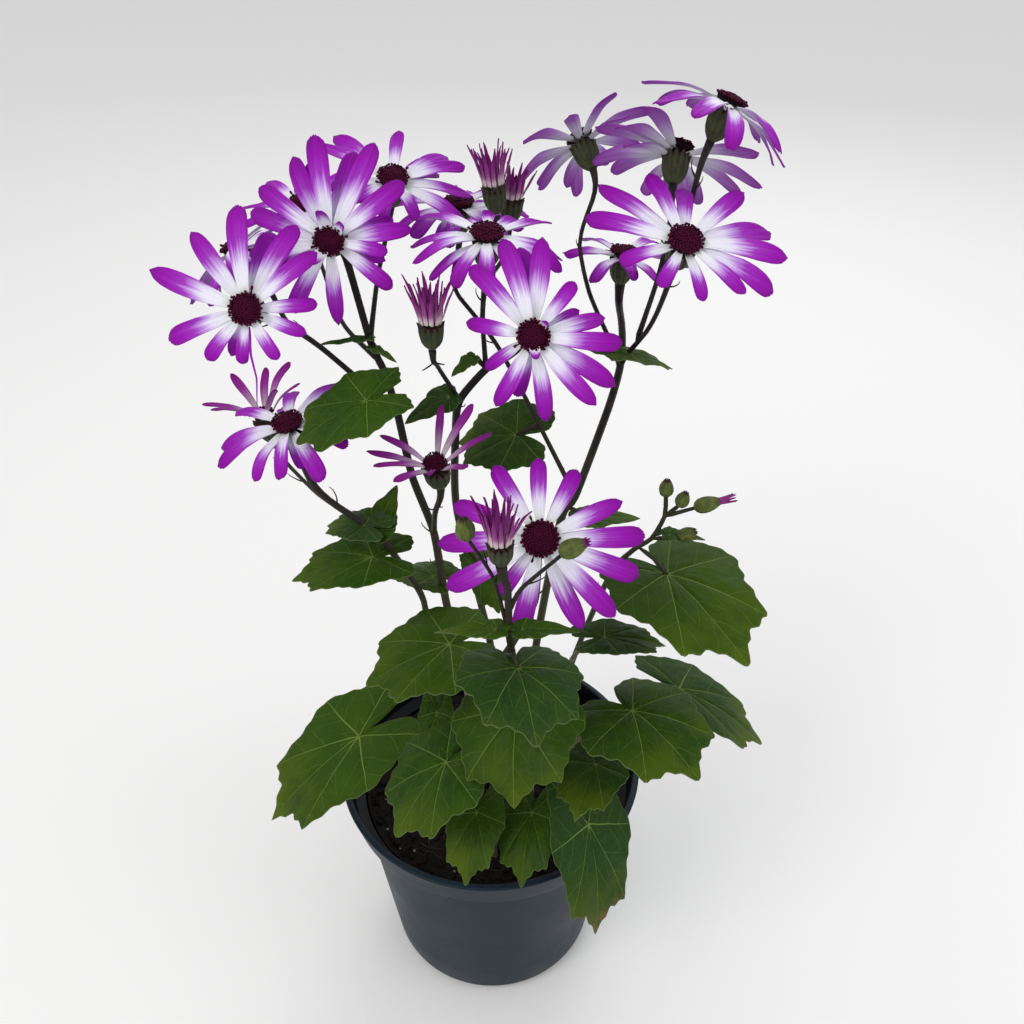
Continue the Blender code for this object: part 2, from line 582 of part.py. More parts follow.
def make_stem(name, group, material):
    pieces = []
    for points, first, last in STEMS[name]:
        points = list(points)
        if isinstance(points[-1], str):
            head = points.pop()
            centre, facing = (HEADS.get(head) or QUILLS.get(head))[:2]
            points += head_back(head)
            pieces.append(make_calyx("calyx", centre, facing, group))
        pieces.append(make_tube("run", points, first, last, group))
    for bud in BUDS.get(name, []):
        pieces.append(make_bud("bud", bud, group))
    for row in STEM_LEAVES.get(name, []):
        base, joint = row[0], row[-1]
        pieces.append(make_blade("blade", *row[:-1], group))
        middle = tuple(0.5 * (Vector(joint) + Vector(base)) + Vector((0, 0, 0.12)))
        pieces.append(make_tube("stalk", [joint, middle, stalk_top(base)], 0.09, 0.07, group))
    return fuse(name, pieces, group, material)


def stalk_points(base, foot):
    across, back, height = base
    x, y = foot
    rise = height - SOIL_TOP
    return [(x, y, SOIL_TOP - FOOT_DEPTH), (x, y, SOIL_TOP + 0.5),
            (x + 0.16 * (across - x), y + 0.16 * (back - y), SOIL_TOP + 0.45 * rise),
            (x + 0.62 * (across - x), y + 0.62 * (back - y), SOIL_TOP + 0.86 * rise),
            stalk_top(base)]


def make_leaf(name, group, material):
    pieces = []
    for row in LEAVES[name]:
        base, foot = row[0], row[-1]
        pieces.append(make_blade("blade", *row[:-1], "lobed", group))
        pieces.append(make_tube("stalk", stalk_points(base, foot), 0.12, 0.08, group))
    return fuse(name, pieces, group, material)


def spin_profile(name, profile, sides, group):
    """Turn a closed profile, listed from the top down its outer side, round Z."""
    mesh = bpy.data.meshes.new(name)
    points = [(radius * CM, 0.0, height * CM) for radius, height in profile]
    edges = [(index, index + 1) for index in range(len(points) - 1)]
    mesh.from_pydata(points, edges, [])
    item = bpy.data.objects.new(name, mesh)
    group.objects.link(item)
    screw = item.modifiers.new("turn", "SCREW")
    screw.axis = "Z"
    screw.steps = sides
    screw.render_steps = sides
    screw.use_merge_vertices = True
    screw.merge_threshold = 0.0001
    apply_modifiers(item)
    bm = bmesh.new()
    bm.from_mesh(item.data)
    bmesh.ops.remove_doubles(bm, verts=bm.verts, dist=WELD)
    bmesh.ops.recalc_face_normals(bm, faces=bm.faces)
    bm.to_mesh(item.data)
    bm.free()
    return item


def wall_radius(height):
    """Outer radius of the pot's tapering wall."""
    low, high = 4.7, 5.78
    return low + (high - low) * (height - 0.6) / (POT_HEIGHT - POT_BAND_HEIGHT - 0.6)


def cut(item, cutters, group):
    for cutter in cutters:
        group.objects.link(cutter)
        cutter.display_type = "WIRE"
    carve = item.modifiers.new("carve", "BOOLEAN")
    carve.operation = "DIFFERENCE"
    carve.operand_type = "COLLECTION"
    carve.collection = group
    carve.solver = "EXACT"
    apply_modifiers(item)
    for cutter in list(group.objects):
        bpy.data.objects.remove(cutter, do_unlink=True)


def make_peg(centre, low, high, radius, sides):
    bm = bmesh.new()
    bmesh.ops.create_cone(bm, cap_ends=True, segments=sides, radius1=radius * CM,
                          radius2=radius * CM, depth=(high - low) * CM)
    bmesh.ops.translate(bm, verts=bm.verts,
                        vec=(centre[0] * CM, centre[1] * CM, 0.5 * (low + high) * CM))
    mesh = bpy.data.meshes.new("peg")
    bm.to_mesh(mesh)
    bm.free()
    return bpy.data.objects.new("peg", mesh)


def make_pot(group, cutters, material):
    band_foot = POT_HEIGHT - POT_BAND_HEIGHT
    wall_top = wall_radius(band_foot)
    profile = [
        (POT_RIM_RADIUS - 0.3, POT_HEIGHT), (POT_RIM_RADIUS, POT_HEIGHT),
        (POT_RIM_RADIUS, POT_HEIGHT - 0.16), (POT_RIM_RADIUS - 0.12, POT_HEIGHT - 0.3),
        (POT_RIM_RADIUS - 0.3, band_foot), (wall_top, band_foot - 0.06),
        (wall_radius(0.6), 0.6), (4.45, 0.22), (POT_FOOT_RADIUS, 0.0), (0.0, 0.0),
        (0.0, POT_FLOOR), (POT_FOOT_RADIUS - 0.1, POT_FLOOR), (4.4, 0.62),
        (wall_top - POT_WALL, band_foot - 0.1), (POT_RIM_RADIUS - 0.48, band_foot + 0.1),
        (POT_RIM_RADIUS - 0.3, POT_HEIGHT),
    ]
    pot = spin_profile("pot", profile, POT_SIDES, group)
    pegs = []
    for index in range(DRAIN_HOLES):
        turn = 2 * math.pi * (index + 0.5) / DRAIN_HOLES
        centre = (DRAIN_CIRCLE * math.cos(turn), DRAIN_CIRCLE * math.sin(turn))
        pegs.append(make_peg(centre, -0.5, POT_FLOOR + 0.2, DRAIN_RADIUS, 6))
    cut(pot, pegs, cutters)
    return fuse("pot", [pot], group, material)


def soil_holes():
    """Foot places with the radius of the stalk that stands there."""
    holes = []
    for runs in STEMS.values():
        points, first, _ = runs[0]
        holes.append((points[0][0], points[0][1], first))
    for leaves in LEAVES.values():
        foot = leaves[0][-1]
        holes.append((foot[0], foot[1], 0.12))
    return holes


def make_soil(group, cutters, material):
    inner = wall_radius(SOIL_TOP) - POT_WALL - 0.06
    profile = [
        (0.0, SOIL_TOP + 0.05), (2.6, SOIL_TOP + 0.12), (4.4, SOIL_TOP), (inner - 0.3, SOIL_TOP - 0.05),
        (inner, SOIL_TOP - 0.2), (4.36, 0.75), (POT_FOOT_RADIUS - 0.2, POT_FLOOR + SOIL_GAP),
        (0.0, POT_FLOOR + SOIL_GAP),
    ]
    soil = spin_profile("soil", profile, 18, group)
    pegs = []
    for x, y, radius in soil_holes():
        pegs.append(make_peg((x, y), SOIL_TOP - HOLE_DEPTH, SOIL_TOP + 0.6,
                             radius + HOLE_GAP + 0.03, 6))
    cut(soil, pegs, cutters)
    return fuse("soil", [soil], group, material)


def main():
    clear_scene()
    group = make_collection("potted_cineraria")
    cutters = make_collection("cutters", hidden=True)
    finish = {name: make_material(name) for name in FINISHES}
    make_pot(group, cutters, finish["slate_plastic"])
    make_soil(group, cutters, finish["dark_soil"])
    for name in STEMS:
        make_stem(name, group, finish["green_stem"])
    for name in LEAVES:
        make_leaf(name, group, finish["green_leaf"])
    for name, head in HEADS.items():
        make_rays(name, head, group, finish["violet_ray"])
        make_disc("disc_" + name, head, group, finish["maroon_disc"])
    for name, head in QUILLS.items():
        make_quills(name, head, group, finish["violet_ray"])


main()
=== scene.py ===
"""Looks of the potted florist's cineraria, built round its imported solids.

Metres, +Z up, front towards -Y. Tables are in centimetres and become metres through CM.
"""

import math
import random

import bmesh
import bpy
import numpy as np
from mathutils import Matrix, Vector

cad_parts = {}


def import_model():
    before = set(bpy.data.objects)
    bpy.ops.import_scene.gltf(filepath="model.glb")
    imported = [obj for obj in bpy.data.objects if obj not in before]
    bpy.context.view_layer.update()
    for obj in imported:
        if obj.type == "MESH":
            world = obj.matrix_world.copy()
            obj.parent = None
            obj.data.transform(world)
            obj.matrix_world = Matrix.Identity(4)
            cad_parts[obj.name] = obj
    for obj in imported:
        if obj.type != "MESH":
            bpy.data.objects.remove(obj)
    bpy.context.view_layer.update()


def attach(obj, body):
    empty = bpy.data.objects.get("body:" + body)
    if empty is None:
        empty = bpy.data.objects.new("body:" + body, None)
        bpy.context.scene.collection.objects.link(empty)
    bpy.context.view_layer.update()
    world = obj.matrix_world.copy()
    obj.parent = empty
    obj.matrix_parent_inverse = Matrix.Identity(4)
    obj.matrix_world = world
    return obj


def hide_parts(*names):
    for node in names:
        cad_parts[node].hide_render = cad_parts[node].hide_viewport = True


CM = 0.01

# Camera: the picture is 1024 px square and the lens was fitted to the pot's outline
PICTURE_SIZE_PX = 1024
FOCAL_LENGTH_PX = 1000
SENSOR_MM = 36.0
CAMERA_PLACE = (0.93, -29.4, 45.4)
CAMERA_DOWN = 35.8

POT_HEIGHT = 10.8
POT_RIM_RADIUS = 6.5
POT_BAND_HEIGHT = 1.3
POT_FOOT_RADIUS = 3.6
POT_WALL = 0.18
POT_FLOOR = 0.25
DRAIN_HOLES = 6
DRAIN_RADIUS = 0.3
DRAIN_CIRCLE = 2.6
SOIL_TOP = 9.3

CALYX_TOP = -0.14
CALYX_HEIGHT = 1.0
CALYX_RADIUS = 0.47
DISC_BASE = 0.1

# Flower heads: centre, facing, disc radius, lift and curl of the rays in degrees,
# and each ray as (angle round the head, length)
HEADS = {
    "f01": ((-6.3, -4, 33.9), (-0.05, -0.85, 0.5), 0.42, 6, -14,
            [(5, 1.9), (38, 2.5), (62, 2.7), (95, 2.8), (125, 2.7), (160, 2.8), (198, 2.5),
             (230, 1.8), (262, 1.5), (300, 1.6), (335, 1.7)]),
    "f02": ((-4.3, -1.5, 34.9), (-0.05, -0.9, 0.42), 0.42, 6, -12,
            [(8, 2.4), (35, 2.7), (62, 3), (95, 2.9), (117, 2.6), (143, 2.5), (163, 2.5),
             (190, 2.4), (235, 2.4), (275, 2.4), (325, 2.2), (350, 1.7)]),
    "f03": ((-7.5, 0.2, 34), (-0.55, 0.05, 0.8), 0.42, 4, -34, (9, 2.5, 0)),
    "f04": ((-6, 3.4, 34.2), (-0.1, -0.3, 0.95), 0.42, 12, -20, (9, 2.2, 12)),
    "f05": ((-2.8, 2, 35.5), (0.15, -0.45, 0.85), 0.45, 8, -16,
            [(0, 2.6), (20, 2.4), (42, 2.3), (90, 2), (140, 2.7), (158, 2.8), (190, 2),
             (225, 1.7), (262, 1.6), (300, 1.8), (335, 2.6)]),
    "f06": ((-0.9, 4.6, 33.8), (0, -0.05, 1), 0.50, 6, -26, (11, 2.6, 6)),
    "f07": ((0.2, -1, 34.8), (0.05, -0.2, 0.98), 0.46, 4, -30,
            [(0, 2.4), (30, 2.3), (60, 2.1), (90, 1.9), (118, 2.2), (148, 2.6), (174, 2.4),
             (205, 2.4), (240, 2), (270, 2.2), (302, 2.7), (332, 2.5)]),
    "f08": ((1.5, -4, 33.1), (0.1, -0.85, 0.5), 0.43, 8, -18,
            [(16, 2.2), (52, 1.9), (84, 2.8), (106, 2.8), (130, 2.6), (170, 1.9), (212, 1.6),
             (244, 2.2), (282, 2.4), (310, 2.6), (332, 2.8), (354, 2.5)]),
    "f09": ((3.2, 4, 36.1), (-0.35, 0.75, 0.6), 0.40, 10, -22, (9, 2.4, 15)),
    "f10": ((6, 2, 36.3), (0.15, 0.75, 0.65), 0.48, 6, -20,
            [(12, 2.9), (36, 2.8), (62, 2.5), (88, 2), (113, 2.1), (145, 2.3), (172, 2.6),
             (196, 2.7), (222, 2.8), (243, 2.5), (335, 2.6)]),
    "f11": ((7.1, 0.5, 38.1), (0.4, 0.1, 0.9), 0.44, 2, -38, (11, 2.6, 10)),
    "f12": ((5.8, -2, 35), (0.1, -0.5, 0.86), 0.48, 6, -14,
            [(20, 3.1), (43, 2.7), (85, 2.5), (112, 2.6), (137, 3.2), (172, 2.9), (202, 2),
             (245, 1.8), (285, 1.9), (312, 2.3), (333, 2.9), (355, 3)]),
    "f13": ((4.7, 3.2, 32.6), (0.05, 0.05, 1), 0.42, 10, -24, (10, 2.2, 18)),
    "f14": ((-5.9, -3, 29.6), (-0.15, -0.2, 0.96), 0.45, 8, -30,
            [(15, 2.2), (55, 2.5), (100, 2.2), (150, 2.2), (182, 2.4), (210, 2.5), (240, 2.1),
             (270, 2.1), (300, 2.5), (335, 2.2)]),
    "f15": ((-7.7, 0.8, 27.7), (-0.2, 0, 1), 0.34, 52, -24, (8, 2.1, 0)),
    "f16": ((1.8, -5, 26.8), (0, -0.8, 0.6), 0.55, 4, -20,
            [(0, 3.3), (26, 2.8), (61, 2.5), (93, 2.5), (124, 2.7), (157, 2.9), (182, 3.2),
             (210, 3.3), (234, 2.2), (258, 3.1), (293, 3.2), (314, 3.4), (338, 3.4)]),
    "f17": ((-1.45, -3.4, 28.4), (-0.1, -0.3, 0.95), 0.34, 44, -12,
            [(10, 2.2), (42, 2.3), (78, 2), (165, 2), (187, 2.3), (207, 2.2), (229, 1.9),
             (270, 1.3), (320, 1.8)]),
}

# Heads that are not fully open have narrower rays
NARROW = {"f15": 0.7, "f17": 0.6}

# Half-open heads with narrow upright rays: centre, facing, ray count, ray length
QUILLS = {
    "bud_rays_back": ((0.35, 1.7, 35.5), (-0.1, 0, 1), 7, 1.7),
    "bud_rays_behind": ((0.95, 2.7, 34.8), (0.1, -0.1, 1), 6, 1.3),
    "bud_rays_left": ((-1.4, -3, 33.1), (0, -0.1, 1), 7, 1.8),
    "bud_rays_front": ((0.6, -7.6, 28.7), (-0.03, -0.1, 1), 7, 1.9),
}

# Stems: every run is a list of points with its first and last radius;
# a name in place of a last point means the back of that head
STEMS = {
    "stem_left": [
        ([(-0.6, 0.6, 8.6), (-0.6, 0.6, 11), (-1, -0.2, 16), (-1.5, -1.4, 21.1),
          (-1.8, -1.5, 24.4), (-2.4, -1.6, 26.8), (-2.7, -1.8, 29.3), (-3, -1.8, 30.8),
          (-3.4, -1.6, 31.8), "f02"], 0.19, 0.11),
        ([(-3.4, -1.6, 31.8), (-3.3, 0.6, 33), "f05"], 0.09, 0.09),
        ([(-3.2, -1.7, 31.2), (-4.6, 0.6, 31.4), "f04"], 0.09, 0.09),
        ([(-2.7, -1.8, 29.3), (-4, -2, 30.9), (-5.3, -2, 32.2), "f01"], 0.11, 0.09),
        ([(-5.3, -2, 32.2), (-6.2, -0.6, 32), "f03"], 0.09, 0.09),
        ([(-1.8, -1.5, 24.4), (-1.6, -2.5, 26.2), "f17"], 0.11, 0.10),
    ],
    "stem_low_left": [
        ([(-1.9, 0.2, 8.6), (-1.9, 0.2, 11), (-2.2, -0.6, 16.5), (-2.3, -1.6, 21.3),
          (-2.8, -2.8, 23.9), (-3.6, -3.2, 25.8), (-4.7, -3.2, 26.7), (-5.6, -3, 27.5),
          "f14"], 0.15, 0.09),
        ([(-4.7, -3.2, 26.7), (-5.8, -1.2, 25.9), "f15"], 0.08, 0.08),
    ],
    "stem_mid": [
        ([(0.5, 1.2, 8.6), (0.5, 1.2, 11), (0, 1, 17), (-1.1, 0.6, 23.8),
          (-1, 0, 27.6), (-0.8, -0.5, 29.1), (0.1, -0.8, 30.4), (0.9, -1.2, 31.1),
          "f08"], 0.18, 0.10),
        ([(0.1, -0.8, 30.4), (0, -0.8, 32.4), "f07"], 0.09, 0.09),
        ([(0, -0.8, 32), (0.1, 1, 33.2), "bud_rays_back"], 0.08, 0.08),
        ([(0.06, 0.4, 32.8), (0.7, 1.8, 33.1), "bud_rays_behind"], 0.08, 0.08),
        ([(-0.8, -0.5, 29.1), (-1.3, -1.5, 30.7), (-1.4, -2.7, 31.7), "bud_rays_left"], 0.09, 0.08),
    ],
    "stem_right": [
        ([(1.6, 0.9, 8.6), (1.6, 0.9, 11), (1.9, 0.5, 17), (2.7, 0, 23.8),
          (3.2, 0, 24.9), (4.2, 0, 28.6), (4.5, 0, 30.3), (4.6, 1.4, 31), "f13"],
         0.18, 0.10),
        ([(4.47, 0.02, 30.22), (3.4, 0.6, 32.4), (3.1, 2, 33.8), "f09"], 0.09, 0.09),
        ([(4.5, 0, 30.3), (5.3, -0.8, 32), "f12"], 0.09, 0.09),
        ([(4.9, -0.4, 31.2), (5.4, -0.1, 33), (5.8, 0.6, 34.5), "f10"], 0.09, 0.09),
        ([(5.4, -0.1, 33), (6.2, 0.1, 35), "f11"], 0.09, 0.09),
        ([(3.2, 0, 24.9), (0.5, 2, 29.7), (-1.2, 3.6, 31.4), "f06"], 0.11, 0.09),
    ],
    "stem_front": [
        ([(0.1, -0.9, 8.6), (0.1, -0.9, 11), (0.2, -2.2, 16), (0.6, -3.9, 20.6),
          (0.95, -6.4, 23.1), (0.85, -7.3, 24.9), (0.8, -7.5, 27.2), "bud_rays_front"],
         0.16, 0.10),
        ([(0.6, -3.9, 20.6), (1.7, -4, 23.4), "f16"], 0.12, 0.10),
        ([(0.85, -7.3, 24.9), (0.4, -7.4, 27.2), (-0.3, -7.6, 28.8)], 0.08, 0.07),
        ([(0.82, -7.4, 25.9), (1.2, -7.5, 26.9), (2.3, -7.6, 28.2)], 0.08, 0.07),
    ],
    "stem_buds": [
        ([(3, 0.6, 8.6), (3, 0.6, 11), (3.3, 0.2, 16), (4.5, -1, 22),
          (5.2, -1.6, 23.7), (5.8, -1.6, 24.2), (6.2, -1.5, 25.1), (6.2, -1.3, 25.8)],
         0.13, 0.08),
        ([(6.2, -1.5, 25.1), (6.6, -1.5, 25.5)], 0.08, 0.07),
        ([(6.2, -1.5, 25.1), (7.2, -1.5, 25.45)], 0.08, 0.07),
        ([(5.8, -1.6, 24.2), (6.7, -1.9, 24.5)], 0.08, 0.07),
    ],
}

# Rays that lie under the main ones, and short rays that curl up over them
UNDER_RAYS = {"f01": 3, "f02": 6, "f03": 5, "f04": 5, "f05": 4, "f06": 3, "f07": 3, "f08": 3,
              "f09": 3, "f10": 2, "f13": 3, "f14": 2}
CURLED_RAYS = {"f02": 3, "f04": 1, "f08": 2, "f09": 1}

# Withered rays that hang as threads: points with first and last radius
WISPS = {
    "f01": ([(-6.25, -4.25, 33.5), (-6.2, -4.75, 32.9), (-6.1, -4.92, 32.3),
             (-6.16, -4.95, 31.8), (-6.2, -4.98, 31.4)], 0.045, 0.012),
}

# Closed buds on a stem: centre, direction, radius, length, how far the rays peep out
BUDS = {
    "stem_front": [((-0.35, -7.6, 29.1), (-0.1, 0, 1), 0.28, 0.7, 0),
                   ((2.6, -7.6, 28.45), (0.9, 0, 0.5), 0.28, 0.8, 0.15)],
    "stem_buds": [((6.2, -1.25, 26.1), (0, 0, 1), 0.25, 0.65, 0),
                  ((6.75, -1.5, 25.8), (0.3, 0, 1), 0.24, 0.6, 0),
                  ((7.6, -1.5, 25.6), (0.95, 0, 0.3), 0.28, 0.9, 0.45),
                  ((6.95, -1.95, 24.65), (0.8, -0.1, 0.5), 0.26, 0.65, 0)],
}

# Leaves on stems: base, heading, tilt below level, roll, length, width, sag, outline,
# where the stalk starts
STEM_LEAVES = {
    "stem_left": [
        ((-3.3, -3.9, 31), 194, 18, -22, 2.5, 2.4, 0.25, "lobed", (-2.8, -1.9, 29.5)),
        ((-3.5, -1.7, 31.9), 178, 4, 0, 1.5, 0.45, 0.1, "lance", (-3.38, -1.62, 31.72)),
        ((-3.3, -1.9, 31.7), 330, 10, 0, 0.9, 0.4, 0.1, "lance", (-3.27, -1.62, 31.55)),
        ((-1.9, -0.9, 21.9), 140, 12, 0, 2.3, 2, 0.2, "lobed", (-1.55, -1.4, 21.3)),
    ],
    "stem_low_left": [
        ((-3.5, -3.5, 25.9), 70, -28, 0, 1.9, 1.3, 0.1, "lance", (-3.5, -3.2, 25.6)),
        ((-3.8, -3.4, 26.1), 150, 10, -10, 1.8, 1.6, 0.2, "lobed", (-3.6, -3.2, 25.8)),
        ((-3.7, -3.3, 24.7), 185, 4, -9, 2.8, 2.6, 0.25, "lobed", (-2.6, -2.3, 22.9)),
    ],
    "stem_mid": [
        ((-1.1, -0.8, 29.4), 200, 16, -12, 1.7, 1.3, 0.2, "lance", (-0.85, -0.4, 28.9)),
        ((-0.3, -1.2, 31), 215, 22, 0, 0.9, 0.7, 0.1, "lance", (0, -0.8, 30.5)),
        ((-0.2, -0.4, 21.9), 292, 14, 0, 1.9, 1.7, 0.2, "lobed", (-0.75, 0.6, 22.1)),
    ],
    "stem_right": [
        ((1.1, 0.9, 26.9), 160, 10, -27, 2.5, 3.2, 0.25, "lobed", (1.95, 0.95, 27.2)),
        ((4.7, -0.4, 30.7), 20, 16, 0, 1.8, 1.3, 0.2, "lobed", (4.5, -0.03, 30.12)),
        ((4.3, -0.5, 30.8), 150, 0, 0, 1.4, 0.8, 0.1, "lance", (4.42, -0.02, 30.03)),
        ((3.5, -0.3, 24.1), 20, 6, 0, 2.4, 1.4, 0.15, "lance", (3, -0.05, 24.4)),
    ],
    "stem_front": [
        ((1.1, -7.65, 23.9), 283, -8, -8, 2.7, 4, 0.3, "lobed", (0.88, -7, 24)),
        ((0.5, -7.6, 25.4), 165, 8, 0, 2, 0.9, 0.15, "lance", (0.84, -7.35, 25.2)),
        ((1.2, -7.6, 25.4), 12, 4, 0, 1.8, 0.9, 0.15, "lance", (0.84, -7.35, 25.1)),
    ],
    "stem_buds": [
        ((6.3, -1.9, 24.6), 8, 8, 0, 1.4, 0.8, 0.1, "lance", (5.9, -1.6, 24.35)),
        ((6.4, -2.1, 23), 298, -6, 5, 4.4, 5, 0.25, "lobed", (5.4, -1.6, 23.8)),
    ],
}

# Leaves on their own stalks: each node holds (base, heading, tilt, roll, length, width,
# sag, foot in the soil)
LEAVES = {
    "leaf_centre_left": [((-1.2, -4.2, 21.6), 197, 6, 0, 3.1, 4.4, 0.25, (-0.5, -1.7))],
    "leaf_centre_front": [((1.1, -5.4, 19.7), 262, 22, 16, 3.1, 5, 0.3, (0.9, -2.9))],
    "leaf_centre_back": [((2.3, -3.3, 17.7), 292, 18, 0, 1.9, 2.2, 0.2, (1.7, -2.2))],
    "leaf_right_small": [((4.2, -3.2, 21), 8, 4, -6, 2.3, 2.2, 0.2, (1.7, -1.1))],
    "leaf_right_far": [((7.3, -2.4, 17.6), 345, 16, -12, 3.8, 4.2, 0.25, (3.3, -0.9))],
    "leaf_right_front": [((5.1, -5.3, 19.5), 312, -4, -8, 3.1, 5.2, 0.3, (2.9, -1.9))],
    "leaf_left_low": [((-5, -3, 15.6), 204, 26, -8, 4.8, 4.6, 0.25, (-2.7, -1.2))],
    "leaf_left_front": [((-1.4, -5.7, 17.3), 222, 20, 10, 3, 4.4, 0.3, (-1, -2.7))],
    "leaf_left_folded": [((-1.9, -3.3, 17.3), 268, 40, 0, 1.9, 1.4, 0.2, (-1.6, -2.2))],
    "leaf_right_low": [((4, -5.2, 16.6), 245, 4, 8, 2.2, 2.7, 0.2, (3.4, -2.5))],
    "leaf_front_pair": [((-0.4, -5.4, 14.1), 257, 18, 8, 2.5, 2.4, 0.3, (0.2, -3.9)),
                        ((1.7, -5.1, 13.7), 257, 12, 8, 2.6, 2.6, 0.3, (0.2, -3.9))],
    "leaf_front_drooping": [((3.8, -5.7, 13.8), 290, 48, -10, 4.4, 3.5, 0.35, (2.2, -4.2))],
}

# Outline, main veins (degrees from the midrib) and tooth spacing of the two kinds of leaf
OUTLINES = {
    "lobed": ([(0, 1.0), (19, 0.84), (38, 0.95), (60, 0.80), (82, 0.87), (106, 0.72),
               (130, 0.74), (157, 0.49), (180, 0.1)], (0, 38, 82, 130), 12.5),
    "lance": ([(0, 1.0), (14, 0.72), (34, 0.5), (70, 0.42), (125, 0.3), (180, 0.12)], (0, 34, 70), 18.0),
}
LEAF_RINGS = np.array([0.03, 0.12, 0.22, 0.32, 0.42, 0.52, 0.61, 0.7, 0.78, 0.86, 0.93, 0.975, 1.0])
LEAF_THICKNESS = 0.034
SCORCHED_LEAF = "leaf_front_drooping"

# Width of a ray along its length, for the three kinds of ray
RAY_ROWS = 17
RAY_COLS = 9
RAY_THICKNESS = 0.022
RAY_SHAPE_AT = (0.0, 0.12, 0.3, 0.5, 0.68, 0.82, 0.91, 0.965, 1.0)
RAY_BLUNT = np.array((0.36, 0.5, 0.72, 0.88, 0.98, 1.0, 0.92, 0.74, 0.38))
RAY_POINTED = np.array((0.34, 0.5, 0.76, 0.94, 0.98, 0.86, 0.66, 0.43, 0.12))
RAY_NEEDLE = np.array((1.0, 1.1, 1.05, 0.9, 0.72, 0.54, 0.38, 0.24, 0.06))
CURLED_LAYER = 8

# Profiles as (share of the radius, share of the height)
DOME = [(0.93, -0.05), (1.0, 0.12), (0.9, 0.3), (0.6, 0.42), (0.25, 0.47)]
CUP = [(0.3, -1.0), (0.44, -0.93), (0.64, -0.82), (0.83, -0.65), (0.94, -0.45), (0.98, -0.25),
       (0.99, -0.1), (1.02, 0.0), (1.08, 0.12)]
BUD = [(0.3, -0.5), (0.62, -0.44), (0.9, -0.3), (1.0, -0.12), (0.97, 0.06), (0.86, 0.2),
       (0.7, 0.33), (0.5, 0.43), (0.34, 0.52)]
SLIP_CURVE = ((0.0, 0.0), (0.35, 0.3), (0.6, 0.7), (0.62, 1.0))

DOME_SIDES = 24
DISC_FLORETS = 150
GOLDEN_ANGLE = math.radians(137.508)
CUP_BRACTS = 13
BRACT_SIDES = 6
BUD_SIDES = 40
BUD_RAYS = 9
STALK_STEP = 0.25
STALK_PULL = 0.35
HAIR_WIDTH = 0.006
SOIL_RINGS = 44
SOIL_SIDES = 132
ANY_TURN = 6.3
UP = Vector((0.0, 0.0, 1.0))


class Sheaf:
    """Collects points, faces, a UV for each corner and named values for each point."""

    def __init__(self):
        self.blocks = []
        self.faces = []
        self.corners = []
        self.values = {}
        self.count = 0

    def add(self, points, faces, corners=None, **values):
        points = np.asarray(points, float).reshape(-1, 3)
        self.blocks.append(points)
        self.faces += [[self.count + index for index in face] for face in faces]
        self.corners += corners or [[(0.0, 0.0)] * len(face) for face in faces]
        for key in sorted(set(self.values) | set(values)):
            column = self.values.setdefault(key, [np.zeros(self.count)])
            column.append(np.broadcast_to(np.ravel(values.get(key, 0.0)), len(points)))
        self.count += len(points)

    def build(self, name, material, smooth=True):
        mesh = bpy.data.meshes.new(name)
        mesh.from_pydata((np.concatenate(self.blocks) * CM).tolist(), [], self.faces)
        layer = mesh.uv_layers.new(name="UVMap")
        layer.data.foreach_set("uv", np.ravel([pair for face in self.corners for pair in face]))
        for key, column in self.values.items():
            data = mesh.attributes.new(key, "FLOAT", "POINT")
            data.data.foreach_set("value", np.concatenate(column))
        mesh.polygons.foreach_set("use_smooth", [smooth] * len(mesh.polygons))
        mesh.materials.append(material)
        return new_item(name, mesh)


def new_item(name, data):
    item = bpy.data.objects.new(name, data)
    bpy.context.scene.collection.objects.link(item)
    return item


def place(item, node):
    """Every piece rides on the one body, and stands for its CAD node."""
    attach(item, "root")
    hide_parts(node)


def grid_faces(rows, cols, closed=False):
    faces = []
    for row in range(rows - 1):
        for col in range(cols if closed else cols - 1):
            after = (col + 1) % cols
            faces.append([row * cols + col, row * cols + after,
                          (row + 1) * cols + after, (row + 1) * cols + col])
    return faces


def tube_faces(rows, sides):
    """The faces of a closed tube, with a lid at each end."""
    top = [(rows - 1) * sides + index for index in range(sides)]
    return grid_faces(rows, sides, closed=True) + [top, list(reversed(range(sides)))]


def back_faces(faces, size):
    """The same faces turned over, on the second half of a sheet's points."""
    return [[size + index for index in reversed(face)] for face in faces]


def lathe(profile, sides, wide=1.0, tall=1.0, turn=0.0):
    """Rings of points round Z, one for each (radius, height) of the profile."""
    rows = np.array(profile, float)
    angles = turn + 2 * math.pi * np.arange(sides) / sides
    points = np.empty((len(rows), sides, 3))
    points[:, :, 0] = wide * rows[:, :1] * np.cos(angles)
    points[:, :, 1] = wide * rows[:, :1] * np.sin(angles)
    points[:, :, 2] = tall * rows[:, 1:]
    return points


def move(points, matrix):
    flat = np.asarray(points, float).reshape(-1, 3)
    return flat @ np.array(matrix.to_3x3()).T + np.array(matrix.translation)


def normals_of(grid, closed=False):
    across = np.gradient(grid, axis=1)
    if closed:
        across = np.roll(grid, -1, axis=1) - np.roll(grid, 1, axis=1)
    normal = np.cross(np.gradient(grid, axis=0), across)
    return normal / np.maximum(np.linalg.norm(normal, axis=2, keepdims=True), 1e-9)


